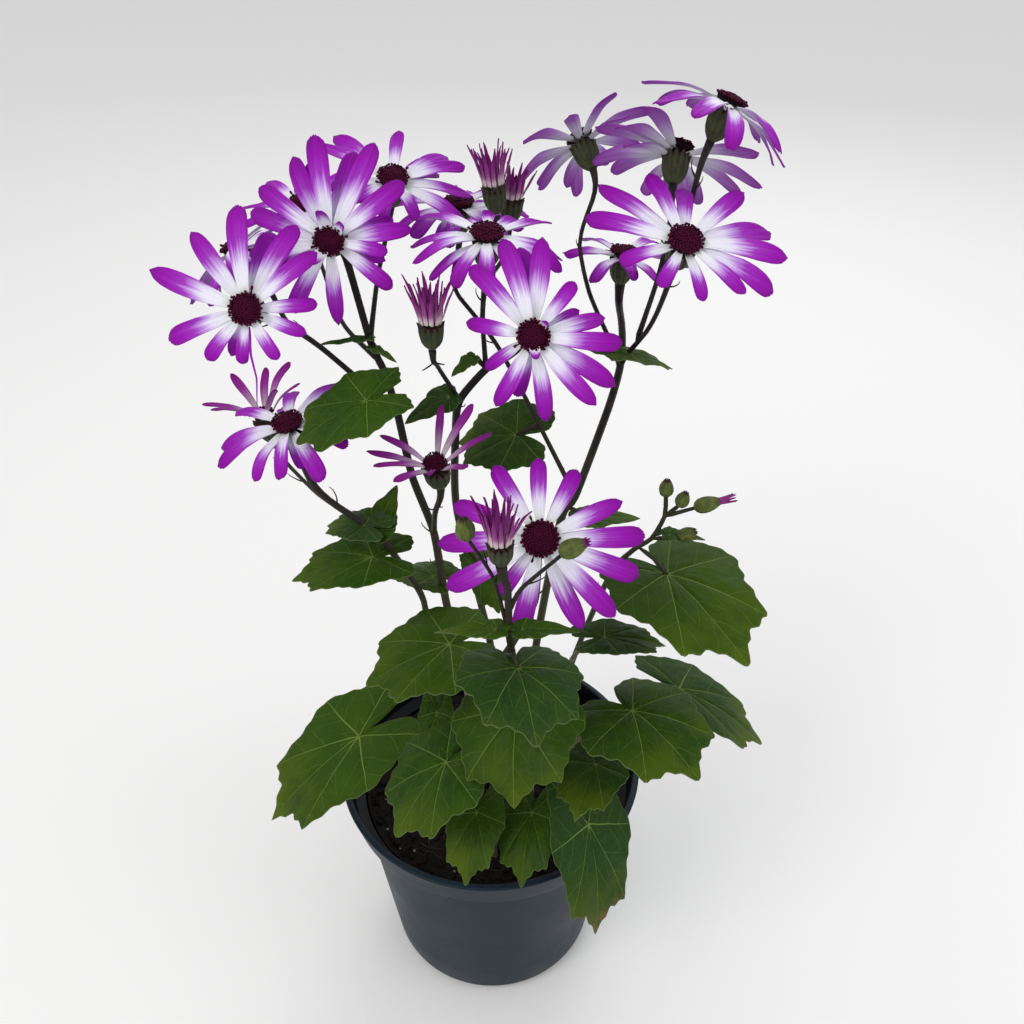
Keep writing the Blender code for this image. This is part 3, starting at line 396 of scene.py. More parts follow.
def add_sheet(sheaf, grid, uv, thickness, matrix, **values):
    """A thin closed blade: the grid's front, its back and the rim between them."""
    rows, cols = grid.shape[:2]
    size = rows * cols
    half = normals_of(grid) * (0.5 * thickness)
    front = grid_faces(rows, cols)
    edge = (list(range(cols)) + [row * cols + cols - 1 for row in range(1, rows)]
            + [(rows - 1) * cols + col for col in range(cols - 2, -1, -1)]
            + [row * cols for row in range(rows - 2, 0, -1)])
    rim = [[there, here, size + here, size + there] for here, there in zip(edge, edge[1:] + edge[:1])]
    faces = front + back_faces(front, size) + rim
    flat = [tuple(pair) for pair in uv.reshape(-1, 2)]
    corners = [[flat[index % size] for index in face] for face in faces]
    both = {key: np.tile(np.broadcast_to(amount, (rows, cols)).reshape(-1), 2)
            for key, amount in values.items()}
    sheaf.add(move([grid + half, grid - half], matrix), faces, corners,
              back=np.repeat([0.0, 1.0], size), **both)


def frame_at(spot, across, normal):
    """Z along the normal and X across, from the spot. Centimetres."""
    turn = Matrix((across, normal.cross(across), normal)).transposed()
    return Matrix.Translation(spot) @ turn.to_4x4()


def head_matrix(centre, facing):
    """Z along the facing, X kept level with the picture's right."""
    normal = Vector(facing).normalized()
    right = Vector((1.0, 0.0, 0.0))
    return frame_at(centre, (right - right.dot(normal) * normal).normalized(), normal)


def head_back(centre, facing):
    """The last two points of the stalk behind a head."""
    normal = Vector(facing).normalized()
    return [Vector(centre) + normal * (CALYX_TOP - share * CALYX_HEIGHT) for share in (1.5, 0.85)]


def ray_list(rays):
    """The angle and length of each ray, as listed or spread evenly with small changes."""
    if isinstance(rays, list):
        return rays
    count, length, turn = rays
    rng = random.Random(count * 10 + turn)
    return [(turn + 360.0 * index / count + rng.uniform(-4.0, 4.0),
             length * rng.uniform(0.9, 1.04)) for index in range(count)]


def ray_grid(length, width, lift, curl, start, needle, rng):
    """A strap with two long grooves, a soft twist and a blunt, faintly notched tip."""
    along = np.linspace(0.0, 1.0, RAY_ROWS)[:, None] ** 0.9
    across = np.linspace(-1.0, 1.0, RAY_COLS)[None, :]
    slope = np.radians(lift + curl * along + rng.uniform(-5, 5) * np.sin(3.0 * along)
                       + rng.uniform(-16, 10) * along ** 4)
    step = np.diff(along, axis=0, prepend=0.0) * (length - start)
    radius = start + np.cumsum(step * np.cos(slope), axis=0)
    height = np.cumsum(step * np.sin(slope), axis=0)
    pointed = rng.random() ** 1.5
    shape = RAY_NEEDLE if needle else pointed * RAY_POINTED + (1.0 - pointed) * RAY_BLUNT
    wide = np.interp(along, RAY_SHAPE_AT, shape)
    side = 0.5 * width * wide * across
    groove = 0.05 * width * np.cos(across * math.pi * 2.5)
    channel = rng.uniform(0.12, 0.3) * width * across ** 2
    flat_tip = np.clip((along - 0.55) / 0.45, 0.0, 1.0)
    twist = np.radians(rng.uniform(-24, 24) * along)
    sway = rng.uniform(-0.05, 0.05) * length * along ** 2
    ripple = 0.018 * np.sin(9.0 * along + rng.uniform(0.0, ANY_TURN) + across)
    rise = (groove + channel * (1.0 - 1.5 * flat_tip)) * wide + ripple
    notch = 0.03 * length * (across ** 2 * 0.6 + 0.25 * np.cos(across * math.pi * 3))
    grid = np.stack([radius - notch * along ** 8, side * np.cos(twist) + sway,
                     height + rise + side * np.sin(twist)], axis=2)
    return grid, along, across


def add_ray(sheaf, matrix, angle, shape, rng, rise=0.0, roll=0.0, root=0.0, young=0.0,
            thickness=RAY_THICKNESS):
    """One ray at an angle round a head. The shape is what ray_grid takes."""
    grid, along, across = ray_grid(*shape, rng)
    grid[:, :, 2] += rise + roll * across ** 2 * np.sin(along * math.pi)
    uv = np.stack(np.broadcast_arrays(0.5 + 0.5 * across, along), axis=2)
    turn = matrix @ Matrix.Rotation(math.radians(angle), 4, "Z")
    add_sheet(sheaf, grid, uv, thickness, turn, along=root + (1.0 - root) * along,
              across=across, tone=rng.random(), young=young)


def make_rays(name, head, material):
    centre, facing, disc_radius, lift, curl, rays = head
    matrix = head_matrix(centre, facing)
    rng = random.Random(name)
    sheaf = Sheaf()
    full = ray_list(rays)
    layers = [(*ray, 2 * (index % 2) - 1) for index, ray in enumerate(full)]
    for index in range(UNDER_RAYS.get(name, 0)):
        angle, length = full[(index * 5 + 2) % len(full)]
        layers.append((angle + 13.0 + rng.uniform(-3, 3), length * rng.uniform(0.72, 0.95), -3))
    for index in range(CURLED_RAYS.get(name, 0)):
        angle, length = full[(index * 7 + 1) % len(full)]
        layers.append((angle + rng.uniform(-9, 9), length * rng.uniform(0.4, 0.55), CURLED_LAYER))
    for angle, length, layer in layers:
        width = (0.175 * length + 0.11) * NARROW.get(name, 1.0)
        curled = layer == CURLED_LAYER
        shape = (length, width, lift + 3 * layer, curl + 70.0 * curled, disc_radius - 0.16, curled)
        add_ray(sheaf, matrix, angle, shape, rng, rise=0.045 * min(layer, 3), young=0.75 * (name in NARROW))
    if name in WISPS:
        add_stalk(sheaf, *WISPS[name], sides=6, ribs=2, along=0.8, across=0.5)
    place(sheaf.build("petals_" + name, material), "rays_" + name)


def make_quills(name, head, material):
    """The narrow, rolled rays of a head that is just opening."""
    centre, facing, count, length = head
    matrix = head_matrix(centre, facing)
    main = random.Random(count)
    rng = random.Random(name)
    sheaf = Sheaf()
    for index in range(count):
        angle = 360.0 * (index + main.uniform(-0.12, 0.12)) / count
        reach = length * main.uniform(0.8, 1.05)
        lift = 80 - 10 * (index % 3 == 0)
        if index == 1 and name != "bud_rays_front":
            lift -= 28
        rolled = [(angle, reach, 0.13, lift, 0.33)]
        for part, start in ((0.5, 0.33), (0.25, 0.24), (0.8, 0.16)):
            rolled.append((angle + 360.0 * part / count, rng.uniform(0.7, 0.98) * reach, 0.12,
                           rng.uniform(79, 87), start))
        for toward, run, width, slope, start in rolled:
            add_ray(sheaf, matrix, toward, (run, width, slope, -4, start, True), rng, roll=0.1, young=1.0)
    place(sheaf.build("rolled_" + name, material), name)


def add_peg(sheaf, foot, axis, length, radius, flare, rng):
    """One small floret: a stalk with a rounded, slightly flared head."""
    profile = [(0.55, 0.0), (0.6, 0.5), (flare, 0.82), (0.7 * flare, 1.0)]
    sides = 6
    points = lathe(profile, sides, radius, length, rng.uniform(0, ANY_TURN))
    axis = axis.normalized()
    matrix = frame_at(foot, axis.orthogonal().normalized(), axis)
    sheaf.add(move(points, matrix), tube_faces(len(profile), sides),
              tip=np.repeat([rise for _, rise in profile], sides), tone=rng.random())


def make_disc(name, head, material):
    """A domed eye of packed florets on a spiral, the outer ones open and taller."""
    centre, facing, radius = head[:3]
    matrix = head_matrix(centre, facing)
    rng = random.Random(name + "disc")
    sheaf = Sheaf()
    dome = lathe(DOME, DOME_SIDES, radius, radius) + np.array((0.0, 0.0, DISC_BASE))
    sheaf.add(move(dome, matrix), tube_faces(len(DOME), DOME_SIDES), tip=0.0, tone=0.5)

    def add_floret(angle, share, height, lean, *shape):
        out = Vector((math.cos(angle), math.sin(angle), 0.0))
        foot = matrix @ (out * (radius * share) + UP * (DISC_BASE + radius * height))
        add_peg(sheaf, foot, matrix.to_3x3() @ (out * lean + UP), *shape, rng)

    for index in range(DISC_FLORETS):
        part = math.sqrt((index + 0.5) / DISC_FLORETS)
        shortest, longest, flare = (0.08, 0.14, 1.15) if part > 0.8 else (0.05, 0.085, 0.95)
        add_floret(index * GOLDEN_ANGLE, 0.96 * part, 0.44 - 0.3 * part ** 2.4, 0.9 * part ** 2,
                   rng.uniform(shortest, longest), 0.092 * radius, flare)
    for _ in range(rng.randrange(3)):
        add_floret(rng.uniform(0, ANY_TURN), 0.92, 0.1, 1.2, rng.uniform(0.2, 0.34), 0.035, 1.3)
    place(sheaf.build("eye_" + name, material), "disc_" + name)


def smooth_route(points, first, last, ease):
    """A rounded line through the points, a short step apart, with its radii.

    The last steps, ease in number, are evened out so that a neck bends gently.
    """
    points = [Vector(point) for point in points]
    ends = [points[0] * 2 - points[1]] + points + [points[-1] * 2 - points[-2]]
    runs = len(points) - 1
    line = []
    sizes = []
    for index in range(runs):
        before, here, there, after = ends[index:index + 4]
        leave = (there - before) * STALK_PULL
        arrive = (after - here) * STALK_PULL
        count = max(2, int((there - here).length / STALK_STEP))
        for step in range(count):
            t = step / count
            line.append((2 * t ** 3 - 3 * t ** 2 + 1) * here + (t ** 3 - 2 * t ** 2 + t) * leave
                        + (-2 * t ** 3 + 3 * t ** 2) * there + (t ** 3 - t ** 2) * arrive)
            sizes.append(first + (last - first) * (index + t) / runs)
    line.append(points[-1])
    sizes.append(last)
    start = max(1, len(line) - ease)
    for _ in range(7):
        middle = [(line[index - 1] + 2.0 * line[index] + line[index + 1]) / 4.0
                  for index in range(start, len(line) - 1)]
        line = line[:start] + middle + [line[-1]]
    return line, sizes


def add_stalk(sheaf, points, first, last, sides=12, ribs=6, swell=0.0, ease=1, flare=0.0, **values):
    """A ridged, tapering stalk, closed at both ends and narrowed where it starts."""
    line, sizes = smooth_route(points, first, last, ease)
    sizes = [size * (1.0 + flare * math.exp((index + 1 - len(line)) / 2.2))
             for index, size in enumerate(sizes)]
    rings = []
    side = None
    for index, spot in enumerate(line):
        ahead = (line[min(index + 1, len(line) - 1)] - line[max(index - 1, 0)]).normalized()
        if side is None:
            side = ahead.orthogonal()
        side = (side - ahead * side.dot(ahead)).normalized()
        other = ahead.cross(side)
        size = sizes[index] * (1.0 + swell * math.exp(-index / 3.0)) * (1.0 if index else 0.5)
        for turn in range(sides):
            angle = 2 * math.pi * turn / sides
            ridge = size * (1.0 + 0.07 * math.cos(angle * ribs))
            rings.append(spot + (side * math.cos(angle) + other * math.sin(angle)) * ridge)
    sheaf.add(rings, tube_faces(len(line), sides), **values)
    return line, sizes


def any_side(ahead, rng):
    """A random direction square to a stalk."""
    side = ahead.orthogonal().normalized()
    side.rotate(Matrix.Rotation(rng.uniform(0, ANY_TURN), 3, ahead))
    return side


def add_hairs(sheaf, line, sizes, per_step, length, rng):
    """Fine pale hairs along a stalk."""
    for index in range(1, len(line) - 1):
        ahead = (line[index + 1] - line[index - 1]).normalized()
        for _ in range(per_step):
            side = any_side(ahead, rng)
            foot = line[index] + ahead * rng.uniform(-0.12, 0.12) + side * (sizes[index] * 0.9)
            tip = foot + side * (length * rng.uniform(0.5, 1.2)) + ahead * (length * 0.4)
            width = ahead.cross(side).normalized() * HAIR_WIDTH
            points = [foot - width, foot + width, foot + ahead * (2 * HAIR_WIDTH), tip]
            sheaf.add(points, [[0, 1, 3], [1, 2, 3], [2, 0, 3], [0, 2, 1]], hair=1.0)


def add_slips(sheaf, line, sizes, rng):
    """Small curved slips that stand off the upper part of a stalk."""
    low = max(3, len(line) // 2)
    for _ in range(2 if len(line) > 12 else 1):
        index = rng.randrange(low, max(low + 1, len(line) - 3))
        if index + 1 >= len(line):
            continue
        ahead = (line[index + 1] - line[index - 1]).normalized()
        side = any_side(ahead, rng)
        foot = line[index] + side * (sizes[index] * 0.6)
        reach = rng.uniform(0.35, 0.6)
        points = [foot + (side * out + ahead * rise) * reach for out, rise in SLIP_CURVE]
        add_stalk(sheaf, points, 0.032, 0.01, sides=5, ribs=1)


def add_calyx(sheaf, centre, facing, share, rng):
    """The ribbed cup of bracts behind a head, with dark pointed tips."""
    sides = CUP_BRACTS * BRACT_SIDES
    bulge = np.sin(np.arange(sides) % BRACT_SIDES / BRACT_SIDES * math.pi)
    rise = np.array(CUP)[:, 1:]
    points = lathe(CUP, sides, CALYX_RADIUS * share)
    points[:, :, :2] *= (0.9 + 0.15 * bulge)[None, :, None]
    points[:, :, 2] = (CALYX_TOP + np.minimum(rise, 0.0) * CALYX_HEIGHT * share
                       + np.maximum(rise, 0.0) * (1.4 * bulge - 0.6))
    tips = np.clip((rise + 0.42) / 0.42, 0.0, 1.0) * (1.0 - 0.4 * bulge)
    ends = [(0.0, 0.0, CALYX_TOP - 0.1), (0.0, 0.0, CALYX_TOP - CALYX_HEIGHT * share)]
    cap = points.shape[0] * sides
    faces = grid_faces(len(CUP), sides, closed=True)
    for index in range(sides):
        after = (index + 1) % sides
        faces.append([cap - sides + index, cap - sides + after, cap])
        faces.append([after, index, cap + 1])
    every = np.concatenate([points.reshape(-1, 3), ends])
    sheaf.add(move(every, head_matrix(centre, facing)), faces,
              tip=np.append(tips, [1.0, 0.0]), tone=rng.random())


def add_bud(sheaf, petals, bud, rng):
    """A shut bud: overlapping green bracts round a core, its rays just peeping out."""
    centre, direction, radius, length, peep = bud
    matrix = head_matrix(centre, direction)
    bulge = np.abs(np.sin(math.pi * np.arange(BUD_SIDES) / 5.0))
    rise = np.array(BUD)[:, 1:]
    points = lathe(BUD, BUD_SIDES, radius)
    points[:, :, :2] *= (0.86 + 0.18 * bulge)[None, :, None]
    points[:, :, 2] = length * (rise + np.maximum(0.0, rise - 0.3) * 0.5 * (bulge - 0.5))
    tips = np.repeat(np.maximum(0.0, (rise - 0.25) / 0.3), BUD_SIDES)
    sheaf.add(move(points, matrix), tube_faces(len(BUD), BUD_SIDES), tip=tips, tone=rng.random(), fresh=1.0)
    if peep:
        inner = matrix @ Matrix.Translation((0, 0, 0.3 * length))
        for index in range(BUD_RAYS):
            run = (0.16 + 1.5 * peep) * rng.uniform(0.75, 1.05)
            add_ray(petals, inner, 360.0 * index / BUD_RAYS, (run, 0.11, 86, -6, 0.09, True),
                    rng, root=0.3, young=1.0, thickness=0.02)


def outline_reach(table, angle, teeth, shift):
    """Leaf edge at an angle: pointed lobes, hollow bays and small sharp teeth."""
    angle = abs((angle + 180.0) % 360.0 - 180.0)
    for (low, start), (high, end) in zip(table, table[1:]):
        if low <= angle <= high:
            part = (angle - low) / (high - low)
            eased = part ** 1.35 if end > start else 1.0 - (1.0 - part) ** 1.35
            reach = start + (end - start) * eased
            break
    fade = min(1.0, (180.0 - angle) / 30.0)
    saw = ((angle + shift) / teeth) % 1.0
    return reach * (1.0 + fade * (0.045 * (1.0 - abs(2 * saw - 1.0)) - 0.02))


def nearest_vein(angle, veins):
    """The angle of the closest main vein, on either side of the midrib."""
    return min((abs(angle - sign * vein), sign * vein) for vein in veins for sign in (1, -1))[1]


def blade_height(along, across, degrees, veins, length, sag, shift):
    """Droop and fold by the solid's rule, raised between the veins and waved at the edge."""
    rings = LEAF_RINGS[:, None]
    away = degrees - np.array([nearest_vein(angle, veins) for angle in degrees])
    puff = np.sin(rings * math.pi) * (1.0 - np.exp(-(away / 5.0) ** 2))
    quilt = 1.0 + 0.45 * np.sin(rings * 17.0 + away * 0.2)
    wave = rings ** 3 * np.sin(np.radians(degrees * 7 + 40 * shift))
    ruffle = rings ** 5 * np.sin(np.radians(degrees * 17 + 90 * shift))
    drop = sag * (along * along + 0.7 * across * across)
    return ((0.1 * np.abs(across) - drop) * length
            + 0.055 * puff * quilt * min(1.0, length / 3.0) + 0.03 * wave + 0.012 * ruffle)


def vein_corners(faces, spots, degrees, veins):
    """UVs along and across the main vein of the sector in which each face lies."""
    cols = len(degrees)
    turns = [np.exp(-1j * math.radians(nearest_vein(angle + 180.0 / cols, veins))) for angle in degrees]
    corners = []
    for face in faces:
        columns = [index % cols for index in face]
        low, high = min(columns), max(columns)
        turn = turns[low if high - low < 2 else high]
        turned = [spots[index % len(spots)] * (turn if len(face) == 4 else 0.0) for index in face]
        corners.append([(spot.real, spot.imag) for spot in turned])
    return corners


def add_blade(sheaf, base, heading, tilt, roll, length, width, sag, kind, rng, brown=0.0):
    """A leaf whose faces lie in sectors, one for each main vein."""
    table, veins, teeth = OUTLINES[kind]
    widest = max(reach * math.sin(math.radians(angle)) for angle, reach in table)
    spread = 0.5 * width / (widest * length)
    cols = 144 if width > 1.2 else 72
    shift = rng.uniform(0, 9)
    degrees = np.linspace(-180.0, 180.0, cols, endpoint=False)
    reach = np.array([outline_reach(table, angle, teeth, shift) for angle in degrees])
    spots = LEAF_RINGS[:, None] * reach * np.exp(1j * np.radians(degrees))
    along, across = spots.real, spots.imag * spread
    height = blade_height(along, across, degrees, veins, length, sag, shift)
    grid = np.stack([along * length, across * length, height], axis=2)
    normal = -normals_of(grid, closed=True)
    normal[normal[:, :, 2] < 0] *= -1.0
    half = normal * (0.5 * LEAF_THICKNESS)
    rows = len(LEAF_RINGS)
    size = rows * cols
    faces = grid_faces(rows, cols, closed=True)
    faces += back_faces(faces, size)
    for here in range(size - cols, size):
        there = here + 1 if here + 1 < size else size - cols
        faces.append([here, there, size + there, size + here])
    faces += [list(reversed(range(cols))), list(range(size, size + cols))]
    values = {"edge": np.repeat(LEAF_RINGS, cols),
              "tipward": np.clip((along - 0.35) * 1.6, 0.0, 1.0) * rng.uniform(0.15, 0.9),
              "brown": np.clip((along - 0.55) * 2.2, 0.0, 1.0) * brown}
    both = {key: np.tile(np.ravel(amount), 2) for key, amount in values.items()}
    turn = Matrix.Translation(base)
    for angle, axis in ((heading, "Z"), (tilt, "Y"), (roll, "X")):
        turn = turn @ Matrix.Rotation(math.radians(angle), 4, axis)
    sheaf.add(move([grid + half, grid - half], turn), faces,
              vein_corners(faces, spots.ravel(), degrees, veins),
              back=np.repeat([0.0, 1.0], size), tone=rng.random(), size=length, **both)


def stalk_points(base, foot):
    """A leaf's stalk: straight up from the soil, then bent over to the leaf's base."""
    start = Vector((*foot, SOIL_TOP))
    run = Vector(base) - start
    bow = [start + Vector((run.x * out, run.y * out, run.z * rise))
           for out, rise in ((0.16, 0.45), (0.62, 0.86))]
    return [start - UP * 0.7, start + UP * 0.5, *bow, Vector(base) - UP * 0.02]


def make_leaf(name, materials):
    rng = random.Random(name)
    blades = Sheaf()
    stalks = Sheaf()
    for *row, foot in LEAVES[name]:
        add_blade(blades, *row, "lobed", rng, brown=1.0 * (name == SCORCHED_LEAF))
        line, sizes = add_stalk(stalks, stalk_points(row[0], foot), 0.12, 0.078, ribs=3, swell=0.25)
        add_hairs(stalks, line, sizes, 2, 0.06, rng)
    place(blades.build(name + "_blades", materials["leaf"]), name)
    place(stalks.build(name + "_stalk", materials["leaf_stalk"]), name)


def make_stem(name, materials):
    rng = random.Random(name)
    stalks, cups, blades, petals = Sheaf(), Sheaf(), Sheaf(), Sheaf()
    for points, first, last in STEMS[name]:
        neck = {}
        if isinstance(points[-1], str):
            *points, head = points
            centre, facing = (HEADS | QUILLS)[head][:2]
            points += head_back(centre, facing)
            add_calyx(cups, centre, facing, 0.78 if head in QUILLS else 0.88, rng)
            neck = {"ease": 10, "flare": 0.9}
        share = 0.76 if first < 0.12 else 0.92
        line, sizes = add_stalk(stalks, points, share * first, share * last, swell=0.4, **neck)
        add_hairs(stalks, line, sizes, 3, 0.07, rng)
        add_slips(stalks, line, sizes, rng)
    for bud in BUDS.get(name, []):
        add_bud(cups, petals, bud, rng)
    for *row, joint in STEM_LEAVES[name]:
        add_blade(blades, *row, rng)
        base = Vector(row[0])
        middle = 0.5 * (Vector(joint) + base) + UP * 0.12
        add_stalk(stalks, [joint, middle, base - UP * 0.02], 0.09, 0.07, ribs=3)
    for sheaf, ending, material, slot in ((stalks, "_stalks", "stem", "stem"),
                                          (cups, "_cups", "calyx", "stem"),
                                          (blades, "_leaves", "leaf", "leaf"),
                                          (petals, "_bud_tips", "ray", "ray_florets")):
        if sheaf.count:
            place(sheaf.build(name + ending, materials[material]), name)

def wall_radius(height):
    """Outer radius of the pot's tapering wall."""
    return 4.7 + 1.08 * (height - 0.6) / (POT_HEIGHT - POT_BAND_HEIGHT - 0.6)


def arc(across, height, radius, start, end, count):
    """Points of a profile along a round corner, angles in degrees."""
    angles = np.radians(np.linspace(start, end, count + 1))
    return [(across + radius * math.cos(angle), height + radius * math.sin(angle)) for angle in angles]


def pot_profile():
    """Half section of the pot: foot, wall, band, rolled rim and back down inside."""
    band = POT_HEIGHT - POT_BAND_HEIGHT
    top = wall_radius(band)
    rim = POT_RIM_RADIUS
    foot = POT_FOOT_RADIUS
    corner = 0.62
    heights = [corner + part * (band - corner) for part in (0.0, 0.15, 0.3, 0.45, 0.6, 0.75, 0.9)]
    return ([(0.0, 0.0), (foot - 0.35, 0.0), (foot - 0.3, 0.02)] + arc(foot + 0.25, 0.75, 0.75, 265, 300, 6)
            + [(4.45, 0.24), (4.58, 0.36), (4.66, 0.5)]
            + [(wall_radius(height), height) for height in heights]
            + [(top, band - 0.1), (top + 0.04, band - 0.03), (rim - 0.36, band - 0.01),
               (rim - 0.3, band + 0.03), (rim - 0.27, band + 0.12),
               (rim - 0.15, POT_HEIGHT - 0.36), (rim - 0.12, POT_HEIGHT - 0.3)]
            + arc(rim - 0.09, POT_HEIGHT - 0.09, 0.09, -60, 90, 10)
            + arc(rim - 0.22, POT_HEIGHT - 0.08, 0.08, 90, 170, 5)
            + [(rim - 0.48, band + 0.12), (top - POT_WALL, band - 0.12), (4.42, corner),
               (foot - 0.1, POT_FLOOR), (0.0, POT_FLOOR)])


def drain_cutters():
    bm = bmesh.new()
    for index in range(DRAIN_HOLES):
        turn = 2 * math.pi * (index + 0.5) / DRAIN_HOLES
        spot = Vector((math.cos(turn), math.sin(turn), 0.0)) * (DRAIN_CIRCLE * CM)
        bmesh.ops.create_cone(bm, cap_ends=True, segments=24, radius1=DRAIN_RADIUS * CM,
                              radius2=DRAIN_RADIUS * CM, depth=0.01,
                              matrix=Matrix.Translation(spot))
    mesh = bpy.data.meshes.new("drains")
    bm.to_mesh(mesh)
    bm.free()
    return new_item("drains", mesh)


def turn_pot():
    """The profile turned round Z, with its drain holes cut."""
    profile = pot_profile()
    mesh = bpy.data.meshes.new("pot_shell")
    mesh.from_pydata([(radius * CM, 0.0, height * CM) for radius, height in profile],
                     [(index, index + 1) for index in range(len(profile) - 1)], [])
    pot = new_item("pot_shell", mesh)
    screw = pot.modifiers.new("turn", "SCREW")
    screw.axis = "Z"
    screw.steps = 120
    screw.render_steps = 120
    screw.use_merge_vertices = True
    screw.merge_threshold = 0.00002
    screw.use_smooth_shade = True
    cutter = drain_cutters()
    carve = pot.modifiers.new("carve", "BOOLEAN")
    carve.operation = "DIFFERENCE"
    carve.solver = "EXACT"
    carve.object = cutter
    depsgraph = bpy.context.evaluated_depsgraph_get()
    pot.data = bpy.data.meshes.new_from_object(pot.evaluated_get(depsgraph))
    pot.modifiers.clear()
    bpy.data.objects.remove(cutter, do_unlink=True)
    return pot


def make_pot(material):
    pot = turn_pot()
    bm = bmesh.new()
    bm.from_mesh(pot.data)
    bmesh.ops.remove_doubles(bm, verts=bm.verts, dist=0.000002)
    bmesh.ops.recalc_face_normals(bm, faces=bm.faces)
    # Marks the inner wall and the inner floor, which the pot's material paints near black as painted shade
    layer = bm.verts.layers.float.new("inside")
    for vertex in bm.verts:
        outward = Vector((vertex.co.x, vertex.co.y, 0.0)).normalized()
        on_floor = vertex.normal.z > 0.5 and vertex.co.z < 0.5 * CM
        vertex[layer] = float(vertex.normal.dot(outward) < -0.2 or on_floor)
    bm.to_mesh(pot.data)
    bm.free()
    pot.data.polygons.foreach_set("use_smooth", [True] * len(pot.data.polygons))
    pot.data.set_sharp_from_angle(angle=math.radians(38))
    pot.data.materials.clear()
    pot.data.materials.append(material)
    place(pot, "pot")


def soil_height(x, y):
    """Uneven surface of the soil, in centimetres."""
    wave = (math.sin(2.3 * x + 0.7) * math.cos(1.9 * y - 0.4) + 0.6 * math.sin(5.1 * x - 3.7 * y)
            + 0.4 * math.cos(8.3 * y + 6.1 * x))
    return SOIL_TOP + 0.12 * max(0.0, 1.0 - math.hypot(x, y) / 4.5) + 0.05 * wave


def add_bed(sheaf, inner, rng):
    """The body of the soil: a rough top, the wall that the pot hides and a flat base."""
    wall = [(inner, SOIL_TOP - 0.5), (4.36, 0.75), (POT_FOOT_RADIUS - 0.2, POT_FLOOR + 0.04)]
    rings = [(inner * ring / SOIL_RINGS, 0.0) for ring in range(1, SOIL_RINGS + 1)]
    points = lathe(rings + wall, SOIL_SIDES)
    for ring in range(SOIL_RINGS):
        for spot in points[ring]:
            rough = rng.uniform(-0.05, 0.05) if ring < SOIL_RINGS - 1 else 0.0
            spot[2] = soil_height(spot[0], spot[1]) + rough
    every = np.concatenate([[(0.0, 0.0, soil_height(0.0, 0.0))], points.reshape(-1, 3)])
    fan = [[0, 1 + side, 1 + (side + 1) % SOIL_SIDES] for side in range(SOIL_SIDES)]
    body = [[1 + index for index in face] for face in grid_faces(len(points), SOIL_SIDES, closed=True)]
    last = len(every) - 1
    sheaf.add(every, fan + body + [list(range(last, last - SOIL_SIDES, -1))])


def any_spot(reach, rng):
    """A random spot on the soil, within reach of its middle."""
    radius = reach * math.sqrt(rng.random())
    turn = rng.uniform(0, ANY_TURN)
    return radius * math.cos(turn), radius * math.sin(turn)


def add_crumb(sheaf, inner, size, rng):
    """One lump of soil or grit, a roughened ball of few faces."""
    x, y = any_spot(inner - 0.2, rng)
    ball = bmesh.new()
    bmesh.ops.create_icosphere(ball, subdivisions=1, radius=size)
    stretch = Vector((rng.uniform(0.7, 1.3), rng.uniform(0.7, 1.3), rng.uniform(0.5, 0.9)))
    centre = Vector((x, y, soil_height(x, y) + 0.25 * size))
    spin = Matrix.Rotation(rng.uniform(0, ANY_TURN), 3, "Z")
    points = [centre + spin @ (vert.co * stretch * rng.uniform(0.8, 1.15)) for vert in ball.verts]
    faces = [[vert.index for vert in face.verts] for face in ball.faces]
    ball.free()
    sheaf.add(points, faces, tone=rng.random())


def add_fibre(sheaf, inner, rng):
    """A short, bent thread of peat that lies on the soil."""
    x, y = any_spot(inner - 0.5, rng)
    heading = rng.uniform(0, ANY_TURN)
    points = []
    for _ in range(4):
        points.append((x, y, soil_height(x, y) + rng.uniform(0.05, 0.13)))
        heading += rng.uniform(-0.7, 0.7)
        step = rng.uniform(0.2, 0.45)
        x, y = x + step * math.cos(heading), y + step * math.sin(heading)
        if math.hypot(x, y) > inner - 0.2:
            break
    if len(points) > 1:
        add_stalk(sheaf, points, 0.022, 0.012, sides=5, ribs=1, tone=rng.random())


def make_soil(material, speck_material, fibre_material):
    rng = random.Random(7)
    inner = wall_radius(SOIL_TOP) - POT_WALL - 0.06
    bed, specks, fibres = Sheaf(), Sheaf(), Sheaf()
    add_bed(bed, inner, rng)
    for _ in range(900):
        add_crumb(bed, inner, rng.uniform(0.05, 0.17), rng)
    for _ in range(46):
        add_crumb(specks, inner, rng.uniform(0.035, 0.08), rng)
    for _ in range(70):
        add_fibre(fibres, inner, rng)
    place(bed.build("soil_bed", material, smooth=False), "soil")
    place(specks.build("soil_specks", speck_material, smooth=False), "soil")
    place(fibres.build("soil_fibres", fibre_material), "soil")


def feed(node, inputs):
    """Links values to a node's inputs, or sets plain numbers and colours on them."""
    for key, value in inputs.items():
        socket = node.inputs[key]
        if isinstance(value, Value):
            value.tree.links.new(value.socket, socket)
        else:
            socket.default_value = (*value, 1.0) if socket.type == "RGBA" else value


def new_node(tree, kind, inputs, output=0, **settings):
    """Adds a node with these settings and inputs, and gives the value of one output."""
    node = tree.nodes.new("ShaderNode" + kind)
    for key, setting in settings.items():
        setattr(node, key, setting)
    feed(node, inputs)
    return Value(tree, node.outputs[output])


def math_call(operation):
    def call(self, other=0.0):
        return new_node(self.tree, "Math", {0: self, 1: other}, operation=operation)
    return call


